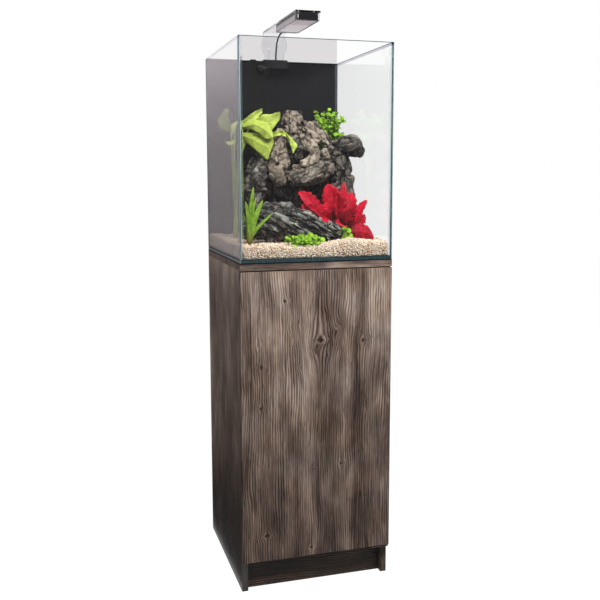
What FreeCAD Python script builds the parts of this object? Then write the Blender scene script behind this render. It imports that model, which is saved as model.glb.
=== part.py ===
import FreeCAD
import Part
import math
import os

V = FreeCAD.Vector

# A rimless glass aquarium on a tall cabinet with one pivot-hung door, an LED lamp on a clear bracket clamped
# to the rear rim, an inside filter hung on the same rim, and a layout of gravel, rock, bark and plants.
# Millimetres, +Z up, front towards -Y. The origin is on the floor, in the middle of the object's box.

# Overall sizes
width = 400.0
depth = 430.0
side_height = 839.0
tank_height = 545.0

# Cabinet boards and gaps
board = 16.0
door_gap = 2.5
door_top_gap = 3.0
door_clearance = 84.0
bottom_board_clearance = 81.5
plinth_recess = 18.0
cable_cutout_width = 120.0
cable_cutout_height = 44.0
shelf_height = 455.0
shelf_setback = 20.0
shelf_play = 0.5

# Hidden fasteners
fit_play = 0.05
dowel_radius = 4.0
dowel_deep = 20.0
dowel_shallow = 10.0
dowel_from_cam = 40.0
cam_from_edge = 50.0
cam_radius = 7.5
cam_length = 12.5
cam_centre = 34.0
cam_bolt_radius = 3.0
cam_nose = 5.0
cam_thread_radius = 2.5
cam_thread_length = 11.0
screw_radius = 1.75
screw_head_radius = 3.5
screw_head_height = 1.8
screw_length = 12.0
back_screw_length = 45.0
back_screw_shares = (-0.6, 0.0, 0.6)
shelf_pin_radius = 2.5
shelf_pin_depth = 9.0
shelf_pin_spade = 8.0
shelf_pin_from_edge = 45.0

# Pivot hinges at the door's right edge
hinge_inset = 6.0
hinge_setback = 9.0
hinge_pin_radius = 2.5
hinge_pin_depth = 12.0
hinge_pin_play = 0.05
hinge_bore_play = 0.3
hinge_collar_radius = 5.0
hinge_collar_play = 0.1
leaf_length = 48.0
leaf_width = 12.0
leaf_thickness = 2.0
leaf_margin = 1.0
leaf_screws_from_end = (8.0, 24.0)
foot_plate_thickness = 2.5
foot_plate_reach = 16.0

# Push latch behind the door's free edge
latch_drop = 60.0
latch_size = 12.0
latch_length = 60.0
latch_setback = 6.0
latch_ear = 3.0
latch_ear_span = 32.0
latch_ear_length = 12.0
latch_ear_setback = 36.0
latch_screw_offset = 11.0
plunger_radius = 4.0
plunger_length = 32.0
plunger_travel = 3.0
plunger_play = 0.05
magnet_radius = 3.5
magnet_length = 3.0
magnet_gap = 0.2
strike_width = 12.0
strike_height = 32.0
strike_thickness = 1.0
bumper_radius = 5.0
bumper_thickness = 1.0
bumper_from_end = 60.0

# Tank
mat = 2.0
base_glass = 8.0
glass = 6.0
seam_leg = 5.0
film = 0.4
film_margin = 1.0

# Rim clamp and its thumbscrews
lamp_x = 4.0
clamp_width = 72.0
clamp_play = 0.3
clamp_leg = 5.0
clamp_web = 3.0
clamp_front_drop = 20.0
clamp_rear_drop = 44.0
thumb_radius = 2.5
thumb_play = 0.05
thumb_head_radius = 8.0
thumb_head_length = 8.0
thumb_stand = 4.0
thumb_drop = 33.0
thumb_offset = 24.0
thumb_scallop_radius = 2.0
thumb_scallops = 10
thumb_tip_gap = 0.1

# Clear bracket
bracket = 5.0
bracket_overlap = 18.0
bracket_foot_half = 30.0
bracket_shoulder_half = 39.0
bracket_arm_half = 33.0
bracket_taper = (23.0, 41.0, 53.0)
bracket_bend = 8.0
machine_screw_radius = 2.0
machine_head_radius = 3.5
machine_head_height = 2.2
clamp_screw_offset = 18.0
clamp_screw_drop = 9.0
cord_hole_radius = 6.5
cord_hole_offset = 9.8
cord_hole_rise = 56.4
tie_hole_radius = 4.0
tie_hole_offset = -16.0
tie_hole_rise = 37.0

# Lamp
lamp_setback = 95.0
lamp_length = 205.0
lamp_width = 64.0
lamp_height = 19.0
lamp_clearance = 60.0
lamp_wall = 2.0
lamp_lip = 1.5
lamp_lip_height = 1.2
lamp_cap = 12.0
lamp_cap_round = 9.0
lamp_fit = 0.2
diffuser = 2.0
diffuser_joint = 0.8
led_board = 1.6
led_size = 5.0
led_height = 1.0
led_rows = 2
led_columns = 11
led_row_gap = 26.0
lamp_screw_offset = 20.0
lamp_screw_from_end = 25.0
button_offset = 18.0
button_radius = 4.0
button_play = 0.1
button_proud = 2.5
button_depth = 5.0
button_travel = 1.5

# Lamp cord, from the lamp's gland down behind the tank and cabinet to a flat plug on the floor
gland_length = 25.0
gland_radius = 5.0
gland_tip_radius = 3.5
cord_radius = 2.5
cord_arc_share = 0.45
plug_relief_length = 15.0
plug_relief_radius = 4.5
plug_length = 36.0
plug_width = 35.0
plug_height = 14.0
plug_chamfer = 3.0
plug_pin_radius = 2.0
plug_pin_length = 19.0
plug_pin_spacing = 19.0
cord_route = [
    (4.0, 101.15, 1471.5), (4.0, 123.0, 1471.5), (5.4, 146.0, 1470.4), (7.8, 169.0, 1468.6),
    (10.6, 191.0, 1465.4), (13.4, 211.5, 1460.0), (15.8, 229.0, 1450.0), (17.2, 241.0, 1433.0),
    (17.9, 247.0, 1409.5), (18.4, 250.0, 1374.0), (19.4, 251.6, 1322.0), (21.2, 252.0, 1256.0),
    (23.4, 251.4, 1186.0), (25.6, 249.8, 1115.0), (27.6, 247.4, 1044.0), (29.2, 244.6, 973.0),
    (30.2, 241.8, 902.0), (30.6, 239.2, 831.0), (30.4, 236.8, 760.0), (29.6, 234.8, 689.0),
    (28.2, 233.2, 618.0), (26.2, 232.0, 547.0), (23.6, 231.4, 476.0), (20.4, 231.4, 405.0),
    (16.6, 232.0, 335.0), (12.2, 233.2, 266.0), (7.2, 235.0, 198.0), (1.6, 237.4, 141.0),
    (-5.0, 240.4, 96.0), (-13.0, 243.6, 61.0), (-23.5, 246.4, 35.0), (-37.5, 248.4, 16.0),
    (-56.0, 249.4, 6.0), (-78.0, 249.2, 3.4), (-99.5, 248.2, 6.0),
]

# Filter
filter_width = 80.0
filter_depth = 60.0
filter_height = 290.0
filter_wall = 2.5
filter_gap = 6.0
filter_stand = 3.0
filter_drop = 17.0
filter_lid = 3.0
lid_skirt = 6.0
lid_skirt_wall = 1.5
lid_play = 0.3
lid_ridge = (40.0, 8.0, 4.0)
hook_width = 16.0
hook_thickness = 2.5
hook_root = 30.0
hook_drop = 12.0
hook_play = 0.3
slot_height = 3.0
slot_pitch = 8.0
slot_count = 12
slot_margin = 12.0
pump_drop = 140.0
pump_height = 92.0
pump_play = 0.3
pump_ledge = 3.0
sponge_play = 0.4
volute_radius = 13.0
volute_height = 16.0
rotor_well_radius = 9.0
rotor_well_height = 34.0
shaft_radius = 1.5
shaft_play = 0.05
shaft_root = 6.0
rotor_radius = 8.2
hub_radius = 4.0
blade_reach = 11.5
blade_height = 10.0
blade_thickness = 2.0
blade_count = 6
rotor_end_gap = 2.0
stub_radius = 8.0
duct_radius = 5.0
stub_offset = 20.0
stub_setback = 16.0
stub_drop = 17.0
stub_reach = 14.0
nozzle_radius = 11.0
nozzle_play = 0.1
nozzle_socket = 10.0
spout_radius = 8.5
spout_length = 24.0
spout_turn = 35.0
spout_dip = 12.0

# Layout in the tank
gravel_depth = 38.0
gravel_margin = 0.5
stem_radius = 5.0

# Planes and places that follow from the sizes above
left = -width / 2
right = width / 2
clamp_reach = film + clamp_play + clamp_leg
rear_overhang = clamp_reach + max(thumb_stand + thumb_head_length, bracket + machine_head_height)
front = -(depth + rear_overhang) / 2
back = front + depth
side_front = front + board + door_gap
inner = width / 2 - board
back_panel_front = back - board
bottom_board_top = bottom_board_clearance + board
door_back = front + board
door_top = side_height - door_top_gap
hinge_x = right - hinge_inset
hinge_y = door_back - hinge_setback
mat_bottom = side_height + board
base_bottom = mat_bottom + mat
glass_bottom = base_bottom + base_glass
rim = base_bottom + tank_height
tank_left = left + glass
tank_right = right - glass
tank_front = front + glass
tank_back = back - glass
clear_width = tank_right - tank_left
clear_depth = tank_back - tank_front
gravel_top = glass_bottom + gravel_depth
clamp_back = back + clamp_reach
lamp_bottom = rim + lamp_clearance
lamp_top = lamp_bottom + lamp_height
lamp_front = front + lamp_setback
lamp_back = lamp_front + lamp_length
lamp_middle = (lamp_bottom + lamp_top) / 2
filter_right = lamp_x - clamp_width / 2 - filter_gap
filter_left = filter_right - filter_width
filter_back = tank_back - filter_stand
filter_front = filter_back - filter_depth
filter_top = rim - filter_drop
filter_bottom = filter_top - filter_height
pump_bottom = filter_top - pump_drop
pump_top = pump_bottom + pump_height
pump_x = (filter_left + filter_right) / 2
pump_y = (filter_front + filter_back) / 2
stub_x = pump_x + stub_offset
stub_y = filter_front + stub_setback
stub_z = filter_top - stub_drop
stub_end = filter_front - stub_reach

UP = V(0, 0, 1)
DOWN = V(0, 0, -1)
RIGHT = V(1, 0, 0)
LEFT = V(-1, 0, 0)
BACKWARDS = V(0, 1, 0)
FORWARDS = V(0, -1, 0)


def block(x0, x1, y0, y1, z0, z1):
    """Box between two corners."""
    return Part.makeBox(x1 - x0, y1 - y0, z1 - z0, V(x0, y0, z0))


def rod(radius, length, start, along):
    """Cylinder of a length, from a point along a direction."""
    return Part.makeCylinder(radius, length, start, along)


def prism(points, along):
    """Flat outline carried along a vector."""
    return Part.Face(Part.makePolygon(points + points[:1])).extrude(along)


def wood_screw(seat, along, length, grow=0.0):
    """Countersunk screw: head flush with its seat, point at the given length."""
    head = Part.makeCone(screw_head_radius + grow, screw_radius + grow, screw_head_height, seat, along)
    return head.fuse(rod(screw_radius + grow, length + grow, seat, along))


def machine_screw(seat, along, length, grow=0.0):
    """Cap-head screw: head standing on its seat, shank going in by the given length."""
    head = rod(machine_head_radius + grow, machine_head_height, seat, along.negative())
    return head.fuse(rod(machine_screw_radius + grow, length, seat, along))


def dowel(joint, along, grow=0.0):
    """Wood dowel across a joint, its longer half along the direction."""
    start = joint - along * (dowel_shallow + grow)
    return rod(dowel_radius + grow, dowel_shallow + dowel_deep + 2 * grow, start, along)


def cam_bolt(joint, along, grow=0.0):
    """Bolt of a cam fitting: thread behind the joint, plain nose reaching into the disc."""
    thread = rod(cam_thread_radius + grow, cam_thread_length + grow, joint, along.negative())
    nose = rod(cam_bolt_radius + grow, cam_centre - cam_radius + cam_nose + grow, joint, along)
    return thread.fuse(nose)


def cam_disc(joint, along, inwards, grow=0.0):
    """Disc of a cam fitting, let into the board's face that lies half a board behind the bolt's axis."""
    start = joint + along * cam_centre - inwards * (board / 2)
    return rod(cam_radius + grow, cam_length + grow, start, inwards)


def hidden_joints():
    """Cam fittings and dowels of the cabinet, and the same shapes grown for the holes that take them."""
    cams, dowels, holes = [], [], []
    cam_places = (side_front + cam_from_edge, back_panel_front - cam_from_edge)
    dowel_places = (cam_places[0] + dowel_from_cam, cam_places[1] - dowel_from_cam)
    bottom_middle = bottom_board_clearance + board / 2
    for x_side, outwards in ((-1, LEFT), (1, RIGHT)):
        edge = x_side * (inner + board / 2)
        sets = [(V(edge, y, side_height), DOWN, outwards) for y in cam_places]
        sets += [(V(x_side * inner, y, bottom_middle), outwards.negative(), UP) for y in cam_places]
        for joint, along, inwards in sets:
            disc = cam_disc(joint, along, inwards).cut(cam_bolt(joint, along, fit_play))
            cams += [disc, cam_bolt(joint, along)]
            holes += [cam_disc(joint, along, inwards, fit_play), cam_bolt(joint, along, fit_play)]
        pegs = [(V(edge, y, side_height), DOWN) for y in dowel_places]
        pegs += [(V(x_side * inner, y, bottom_middle), outwards.negative()) for y in dowel_places]
        back_middle = back - board / 2
        pegs += [(V(x_side * inner, back_middle, z), outwards.negative())
                 for z in (bottom_board_top + dowel_from_cam, side_height / 2, side_height - dowel_from_cam)]
        plinth_middle = side_front + plinth_recess + board / 2
        pegs += [(V(x_side * inner, plinth_middle, bottom_board_clearance / 2), outwards.negative())]
        for joint, along in pegs:
            dowels.append(dowel(joint, along))
            holes.append(dowel(joint, along, fit_play))
    return cams, dowels, holes


def leaf_outline(z0, z1, grow=0.0):
    """Flat hinge leaf, lengthwise along the door's edge."""
    x1 = right - leaf_margin
    half = leaf_width / 2 + grow
    return block(x1 - leaf_length - grow, x1 + grow, hinge_y - half, hinge_y + half, z0, z1)


def leaf_screw_places(z):
    """Screw points of a leaf, counted from its far end."""
    far_end = right - leaf_margin - leaf_length
    return [V(far_end + step, hinge_y, z) for step in leaf_screws_from_end]


def foot_plate():
    """Lower hinge plate: a leaf under the door with a tail under the bottom board."""
    z0 = bottom_board_clearance - foot_plate_thickness
    z1 = bottom_board_clearance
    far_end = right - leaf_margin - leaf_length
    tail = block(far_end, inner - leaf_margin, hinge_y, side_front + foot_plate_reach, z0, z1)
    return leaf_outline(z0, z1).fuse(tail).removeSplitter()


def hinge_pin(z_low, z_high, collar_low, collar_high):
    """Pivot pin with the collar that keeps the door clear of the plate."""
    centre = V(hinge_x, hinge_y, z_low)
    collar = rod(hinge_collar_radius, collar_high - collar_low, V(hinge_x, hinge_y, collar_low), UP)
    return rod(hinge_pin_radius, z_high - z_low, centre, UP).fuse(collar).removeSplitter()


def pin_hole(z_low, z_high):
    """Running hole for a pivot pin."""
    radius = hinge_pin_radius + hinge_pin_play
    return rod(radius, z_high - z_low, V(hinge_x, hinge_y, z_low), UP)


def build_hinges(pieces):
    """Plates on the cabinet, leaves on the door, and the pins between them. Returns the screws of each."""
    foot_bottom = bottom_board_clearance - foot_plate_thickness
    plate_screws = [(seat, UP) for seat in leaf_screw_places(side_height)]
    far_end = right - leaf_margin - leaf_length
    foot_y = side_front + foot_plate_reach / 2
    plate_screws += [(V(far_end + step, foot_y, foot_bottom), UP) for step in leaf_screws_from_end]
    plate_holes = [wood_screw(seat, along, screw_length, fit_play) for seat, along in plate_screws]
    top_pin = hinge_pin(door_top - hinge_pin_depth, side_height + leaf_thickness,
                        door_top + hinge_collar_play, side_height)
    low_pin = hinge_pin(foot_bottom, door_clearance + hinge_pin_depth,
                        bottom_board_clearance, door_clearance - hinge_collar_play)
    pieces["hinge_pins"] = Part.makeCompound([top_pin, low_pin])
    top_plate = leaf_outline(side_height, side_height + leaf_thickness)
    rivet_hole = pin_hole(foot_bottom, side_height + leaf_thickness)
    pieces["hinge_plate_top"] = top_plate.cut(plate_holes + [rivet_hole])
    pieces["hinge_plate_bottom"] = foot_plate().cut(plate_holes + [rivet_hole])
    leaf_screws = [(seat, DOWN) for seat in leaf_screw_places(door_top)]
    leaf_screws += [(seat, UP) for seat in leaf_screw_places(door_clearance)]
    leaf_holes = [wood_screw(seat, along, screw_length, fit_play) for seat, along in leaf_screws]
    leaves = [leaf_outline(door_top - leaf_thickness, door_top),
              leaf_outline(door_clearance, door_clearance + leaf_thickness)]
    pieces["door_hinge_leaves"] = Part.makeCompound([leaf.cut(leaf_holes + [rivet_hole]) for leaf in leaves])
    return plate_screws, plate_holes, leaf_screws, leaf_holes


def latch_places():
    """Axis of the latch: across, behind the strike plate, and up."""
    return -inner + latch_size / 2, door_back + strike_thickness + magnet_gap, side_height - latch_drop


def build_latch(pieces):
    """Push latch on the left side panel: body with two ears, sliding plunger, magnet in its tip."""
    x, tip, z = latch_places()
    half = latch_size / 2
    y0 = side_front + latch_setback
    body = block(-inner, -inner + latch_size, y0, y0 + latch_length, z - half, z + half)
    ear_y = side_front + latch_ear_setback
    ears = block(-inner, -inner + latch_ear, ear_y - latch_ear_length / 2, ear_y + latch_ear_length / 2,
                 z - latch_ear_span / 2, z + latch_ear_span / 2)
    seats = [V(-inner + latch_ear, ear_y, z + side * latch_screw_offset) for side in (-1, 1)]
    holes = [wood_screw(seat, LEFT, screw_length, fit_play) for seat in seats]
    plunger_start = V(x, tip + magnet_length, z)
    bore_end = tip + magnet_length + plunger_length + plunger_travel + magnet_gap
    bore = rod(plunger_radius + plunger_play, bore_end - y0, V(x, y0, z), BACKWARDS)
    pieces["latch_body"] = body.fuse(ears).removeSplitter().cut(holes + [bore])
    pieces["latch_plunger"] = rod(plunger_radius, plunger_length, plunger_start, BACKWARDS)
    pieces["latch_magnet"] = rod(magnet_radius, magnet_length, V(x, tip, z), BACKWARDS)
    return [(seat, LEFT) for seat in seats], holes


def build_cabinet(pieces):
    """Boards, shelf and hidden fasteners of the cabinet."""
    cams, dowels, holes = hidden_joints()
    plate_screws, plate_holes, leaf_screws, leaf_holes = build_hinges(pieces)
    latch_screws, latch_holes = build_latch(pieces)
    bottom_middle = bottom_board_clearance + board / 2
    back_seats = [V(share * inner, back, bottom_middle) for share in back_screw_shares]
    back_holes = [wood_screw(seat, FORWARDS, back_screw_length, fit_play) for seat in back_seats]
    holes += plate_holes + latch_holes + back_holes

    pin_z = shelf_height - shelf_pin_radius
    pins, pin_holes = [], []
    shelf_front = side_front + shelf_setback
    shelf_back = back_panel_front - shelf_play
    for x_side, outwards in ((-1, LEFT), (1, RIGHT)):
        for y in (shelf_front + shelf_pin_from_edge, shelf_back - shelf_pin_from_edge):
            seat = V(x_side * inner, y, pin_z)
            x0, x1 = sorted((x_side * inner, x_side * (inner - shelf_pin_spade)))
            spade = block(x0, x1, y - shelf_pin_radius, y + shelf_pin_radius,
                          pin_z - shelf_pin_radius, shelf_height)
            pins.append(rod(shelf_pin_radius, shelf_pin_depth, seat, outwards).fuse(spade))
            pin_holes.append(rod(shelf_pin_radius + fit_play, shelf_pin_depth + fit_play, seat, outwards))
    pieces["shelf_pins"] = Part.makeCompound(pins)
    pieces["shelf"] = block(-inner + shelf_play, inner - shelf_play, shelf_front, shelf_back,
                            shelf_height, shelf_height + board)

    left_panel = block(left, -inner, side_front, back, 0, side_height)
    right_panel = block(inner, right, side_front, back, 0, side_height)
    pieces["left_side_panel"] = left_panel.cut(holes + pin_holes)
    pieces["right_side_panel"] = right_panel.cut(holes + pin_holes)
    plate_pocket = leaf_outline(side_height, side_height + leaf_thickness + fit_play, fit_play)
    top_board = block(left, right, front, back, side_height, mat_bottom)
    pieces["top_board"] = top_board.cut(holes + [plate_pocket])
    bottom_board = block(-inner, inner, side_front, back_panel_front, bottom_board_clearance, bottom_board_top)
    pieces["bottom_board"] = bottom_board.cut(holes)
    half_cutout = cable_cutout_width / 2
    cutout_bottom = side_height - cable_cutout_height
    cutout = block(-half_cutout, half_cutout, back_panel_front, back, cutout_bottom, side_height)
    pieces["back_panel"] = block(-inner, inner, back_panel_front, back, 0, side_height).cut(holes + [cutout])
    plinth_front = side_front + plinth_recess
    plinth = block(-inner, inner, plinth_front, plinth_front + board, 0, bottom_board_clearance)
    pieces["plinth_board"] = plinth.cut(holes)

    pieces["cam_fittings"] = Part.makeCompound(cams)
    pieces["wood_dowels"] = Part.makeCompound(dowels)
    screws = [wood_screw(seat, along, screw_length) for seat, along in plate_screws + latch_screws]
    screws += [wood_screw(seat, FORWARDS, back_screw_length) for seat in back_seats]
    pieces["cabinet_screws"] = Part.makeCompound(screws)
    build_door(pieces, leaf_screws, leaf_holes)


def build_door(pieces, leaf_screws, leaf_holes):
    """Door panel with let-in leaves, strike plate and bumpers."""
    x, tip, z = latch_places()
    strike = block(x - strike_width / 2, x + strike_width / 2, door_back, door_back + strike_thickness,
                   z - strike_height / 2, z + strike_height / 2)
    strike_seats = [V(x, door_back + strike_thickness, z + side * latch_screw_offset) for side in (-1, 1)]
    strike_holes = [wood_screw(seat, FORWARDS, screw_length, fit_play) for seat in strike_seats]
    pieces["strike_plate"] = strike.cut(strike_holes)
    pockets = [leaf_outline(door_top - leaf_thickness - fit_play, door_top, fit_play),
               leaf_outline(door_clearance, door_clearance + leaf_thickness + fit_play, fit_play)]
    bore_depth = hinge_pin_depth + hinge_bore_play
    pin_bores = [rod(hinge_pin_radius + hinge_bore_play, bore_depth, V(hinge_x, hinge_y, start), along)
                 for start, along in ((door_top, DOWN), (door_clearance, UP))]
    panel = block(left, right, front, door_back, door_clearance, door_top)
    pieces["door_panel"] = panel.cut(pockets + pin_bores + leaf_holes + strike_holes)
    screws = [wood_screw(seat, along, screw_length) for seat, along in leaf_screws]
    screws += [wood_screw(seat, FORWARDS, screw_length) for seat in strike_seats]
    pieces["door_screws"] = Part.makeCompound(screws)
    bumper_x = left + board / 2
    bumpers = [rod(bumper_radius, bumper_thickness, V(bumper_x, door_back, height), BACKWARDS)
               for height in (door_clearance + bumper_from_end, door_top - bumper_from_end)]
    pieces["door_bumpers"] = Part.makeCompound(bumpers)


def seam(corner, leg_a, leg_b, along):
    """Three-cornered bead of silicone in an inside corner."""
    return prism([corner, corner + leg_a * seam_leg, corner + leg_b * seam_leg], along)


def build_tank(pieces):
    """Levelling mat, glass panes, seams and the black film behind the rear glass."""
    pieces["levelling_mat"] = block(left, right, front, back, mat_bottom, base_bottom)
    pieces["base_glass"] = block(left, right, front, back, base_bottom, glass_bottom)
    pieces["front_glass"] = block(left, right, front, tank_front, glass_bottom, rim)
    pieces["rear_glass"] = block(left, right, tank_back, back, glass_bottom, rim)
    pieces["left_glass"] = block(left, tank_left, tank_front, tank_back, glass_bottom, rim)
    pieces["right_glass"] = block(tank_right, right, tank_front, tank_back, glass_bottom, rim)
    rise = UP * (rim - glass_bottom - 2 * seam_leg)
    z = glass_bottom + seam_leg
    beads = [seam(V(x, y, z), to_x, to_y, rise)
             for x, to_x in ((tank_left, RIGHT), (tank_right, LEFT))
             for y, to_y in ((tank_front, BACKWARDS), (tank_back, FORWARDS))]
    beads += [seam(V(tank_left, y, glass_bottom), to_y, UP, RIGHT * clear_width)
              for y, to_y in ((tank_front, BACKWARDS), (tank_back, FORWARDS))]
    side_run = BACKWARDS * (clear_depth - 2 * seam_leg)
    beads += [seam(V(x, tank_front + seam_leg, glass_bottom), to_x, UP, side_run)
              for x, to_x in ((tank_left, RIGHT), (tank_right, LEFT))]
    pieces["silicone_seams"] = Part.makeCompound(beads)
    pieces["back_film"] = block(left + film_margin, right - film_margin, back, back + film,
                                glass_bottom, rim - film_margin)


def thumbscrew(x):
    """Clamp screw with a scalloped grip behind the clamp's leg."""
    z = rim - thumb_drop
    tip = back + film + thumb_tip_gap
    head_start = clamp_back + thumb_stand
    shank = rod(thumb_radius, head_start - tip, V(x, tip, z), BACKWARDS)
    grip = rod(thumb_head_radius, thumb_head_length, V(x, head_start, z), BACKWARDS)
    scallops = []
    for step in range(thumb_scallops):
        angle = 2 * math.pi * step / thumb_scallops
        spoke = V(math.cos(angle), 0, math.sin(angle))
        centre = V(x, head_start, z) + spoke * thumb_head_radius
        scallops.append(rod(thumb_scallop_radius, thumb_head_length, centre, BACKWARDS))
    return shank.fuse(grip.cut(scallops)).removeSplitter()


def bracket_screw_places():
    """Seats, directions and depths of the two clamp screws and the four lamp screws."""
    seat_y = clamp_back + bracket
    z = rim - clamp_screw_drop
    places = [(V(lamp_x + side * clamp_screw_offset, seat_y, z), FORWARDS, bracket + clamp_leg)
              for side in (-1, 1)]
    for side in (-1, 1):
        for y in (lamp_front + lamp_screw_from_end, lamp_back - lamp_screw_from_end):
            seat = V(lamp_x + side * lamp_screw_offset, y, lamp_top + bracket)
            places.append((seat, DOWN, bracket + lamp_wall))
    return places


def build_bracket(pieces):
    """Rim clamp, thumbscrews and the bent clear bracket with its screws."""
    x0 = lamp_x - clamp_width / 2
    leg_front = tank_back - clamp_play
    leg_back = back + film + clamp_play
    top = rim + clamp_web
    outline = [(leg_front - clamp_leg, rim - clamp_front_drop), (leg_front, rim - clamp_front_drop),
               (leg_front, rim), (leg_back, rim), (leg_back, rim - clamp_rear_drop),
               (clamp_back, rim - clamp_rear_drop), (clamp_back, top), (leg_front - clamp_leg, top)]
    clamp = prism([V(x0, y, z) for y, z in outline], RIGHT * clamp_width)
    screw_holes = [machine_screw(seat, along, length, fit_play)
                   for seat, along, length in bracket_screw_places()]
    thumb_x = (lamp_x - thumb_offset, lamp_x + thumb_offset)
    thumb_holes = [rod(thumb_radius + thumb_play, clamp_leg, V(x, leg_back, rim - thumb_drop), BACKWARDS)
                   for x in thumb_x]
    pieces["rim_clamp"] = clamp.cut(screw_holes + thumb_holes)
    pieces["thumbscrew_left"] = thumbscrew(thumb_x[0])
    pieces["thumbscrew_right"] = thumbscrew(thumb_x[1])

    bend_z = lamp_top - bracket_bend
    bend_y = clamp_back - bracket_bend
    low, high, shoulder = (rim + rise for rise in bracket_taper)
    half_outline = [(bracket_foot_half, rim - bracket_overlap), (bracket_foot_half, low),
                    (bracket_shoulder_half, high), (bracket_shoulder_half, shoulder),
                    (bracket_arm_half, bend_z)]
    corners = [V(lamp_x + x, clamp_back, z) for x, z in half_outline]
    corners += [V(lamp_x - x, clamp_back, z) for x, z in reversed(half_outline)]
    upright = prism(corners, BACKWARDS * bracket)
    arm_left = lamp_x - bracket_arm_half
    arm_right = lamp_x + bracket_arm_half
    centre = V(arm_left, bend_y, bend_z)
    arm_width = 2 * bracket_arm_half
    outer = bracket_bend + bracket
    bend = rod(outer, arm_width, centre, RIGHT).cut(rod(bracket_bend, arm_width, centre, RIGHT))
    bend = bend.common(block(arm_left, arm_right, bend_y, bend_y + outer, bend_z, bend_z + outer))
    arm = block(arm_left, arm_right, lamp_front, bend_y, lamp_top, lamp_top + bracket)
    cord_hole_seat = V(lamp_x + cord_hole_offset, clamp_back, rim + cord_hole_rise)
    cord_hole = rod(cord_hole_radius, bracket, cord_hole_seat, BACKWARDS)
    tie_hole_seat = V(lamp_x + tie_hole_offset, clamp_back, rim + tie_hole_rise)
    tie_hole = rod(tie_hole_radius, bracket, tie_hole_seat, BACKWARDS)
    clear = upright.fuse([bend, arm]).removeSplitter()
    pieces["lamp_bracket"] = clear.cut(screw_holes + [cord_hole, tie_hole])
    screws = [machine_screw(seat, along, length) for seat, along, length in bracket_screw_places()]
    pieces["bracket_screws"] = Part.makeCompound(screws)
    return screw_holes


def end_cap(y_inner, y_outer):
    """Lamp end cap with its two standing outer edges rounded."""
    half = lamp_width / 2
    y0, y1 = sorted((y_inner, y_outer))
    cap = block(lamp_x - half, lamp_x + half, y0, y1, lamp_bottom, lamp_top)
    standing = [edge for edge in cap.Edges
                if edge.BoundBox.ZLength > lamp_height / 2 and abs(edge.BoundBox.YMin - y_outer) < fit_play]
    return cap.makeFillet(lamp_cap_round, standing)


def build_lamp(pieces, screw_holes):
    """Aluminium lamp housing with its caps, LED board, diffusers, button and cord gland."""
    half = lamp_width / 2
    clear_half = half - lamp_wall
    y0 = lamp_front + lamp_cap
    y1 = lamp_back - lamp_cap
    ceiling = lamp_top - lamp_wall
    shell = block(lamp_x - half, lamp_x + half, y0, y1, lamp_bottom, lamp_top)
    hollow = block(lamp_x - clear_half, lamp_x + clear_half, y0, y1, lamp_bottom + lamp_lip_height, ceiling)
    mouth_half = clear_half - lamp_lip
    mouth = block(lamp_x - mouth_half, lamp_x + mouth_half, y0, y1, lamp_bottom, lamp_bottom + lamp_lip_height)
    pieces["lamp_housing"] = shell.cut([hollow, mouth] + screw_holes)

    pane_half = clear_half - lamp_fit
    pane_bottom = lamp_bottom + lamp_lip_height
    y_middle = (y0 + y1) / 2
    spans = ((y0 + lamp_fit, y_middle - diffuser_joint / 2), (y_middle + diffuser_joint / 2, y1 - lamp_fit))
    panes = [block(lamp_x - pane_half, lamp_x + pane_half, start, end, pane_bottom, pane_bottom + diffuser)
             for start, end in spans]
    pieces["lamp_diffusers"] = Part.makeCompound(panes)
    board_bottom = ceiling - led_board
    pieces["led_board"] = block(lamp_x - pane_half, lamp_x + pane_half, y0 + lamp_fit, y1 - lamp_fit,
                                board_bottom, ceiling)
    pitch = (y1 - y0) / led_columns
    chips = []
    for row in range(led_rows):
        x = lamp_x + (row - (led_rows - 1) / 2) * led_row_gap
        for column in range(led_columns):
            y = y0 + (column + 0.5) * pitch
            chips.append(block(x - led_size / 2, x + led_size / 2, y - led_size / 2, y + led_size / 2,
                               board_bottom - led_height, board_bottom))
    pieces["led_chips"] = Part.makeCompound(chips)

    gland_seat = V(lamp_x, lamp_back, lamp_middle)
    gland_root = rod(gland_tip_radius, lamp_cap, gland_seat, FORWARDS)
    gland_hole = rod(gland_tip_radius + fit_play, lamp_cap, gland_seat, FORWARDS)
    taper = Part.makeCone(gland_radius, gland_tip_radius, gland_length, gland_seat, BACKWARDS)
    pieces["cord_gland"] = taper.fuse(gland_root)
    button_seat = V(lamp_x + button_offset, lamp_back + button_proud, lamp_middle)
    pieces["lamp_button"] = rod(button_radius, button_proud + button_depth, button_seat, FORWARDS)
    well_depth = button_depth + button_travel + button_play
    well = rod(button_radius + button_play, well_depth, V(button_seat.x, lamp_back, lamp_middle), FORWARDS)
    rear_cap = end_cap(y1, lamp_back).cut([gland_hole, well])
    pieces["lamp_end_caps"] = Part.makeCompound([end_cap(y0, lamp_front), rear_cap])


def rounded_route(points):
    """Straight runs joined by tangent arcs: the edges of the route, and the radius of each arc."""
    edges, radii = [], []
    start = points[0]
    for before, corner, after in zip(points, points[1:], points[2:]):
        run_in = corner - before
        run_out = after - corner
        half_turn = run_in.getAngle(run_out) / 2
        trim = cord_arc_share * min(run_in.Length, run_out.Length)
        radius = trim / math.tan(half_turn)
        way_in = V(run_in).normalize()
        way_out = V(run_out).normalize()
        arc_start = corner - way_in * trim
        arc_end = corner + way_out * trim
        towards_centre = (way_out - way_in).normalize()
        arc_middle = corner + towards_centre * (radius / math.cos(half_turn) - radius)
        edges.append(Part.LineSegment(start, arc_start).toShape())
        edges.append(Part.Arc(arc_start, arc_middle, arc_end).toShape())
        radii.append(radius)
        start = arc_end
    edges.append(Part.LineSegment(start, points[-1]).toShape())
    return edges, radii


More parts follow.
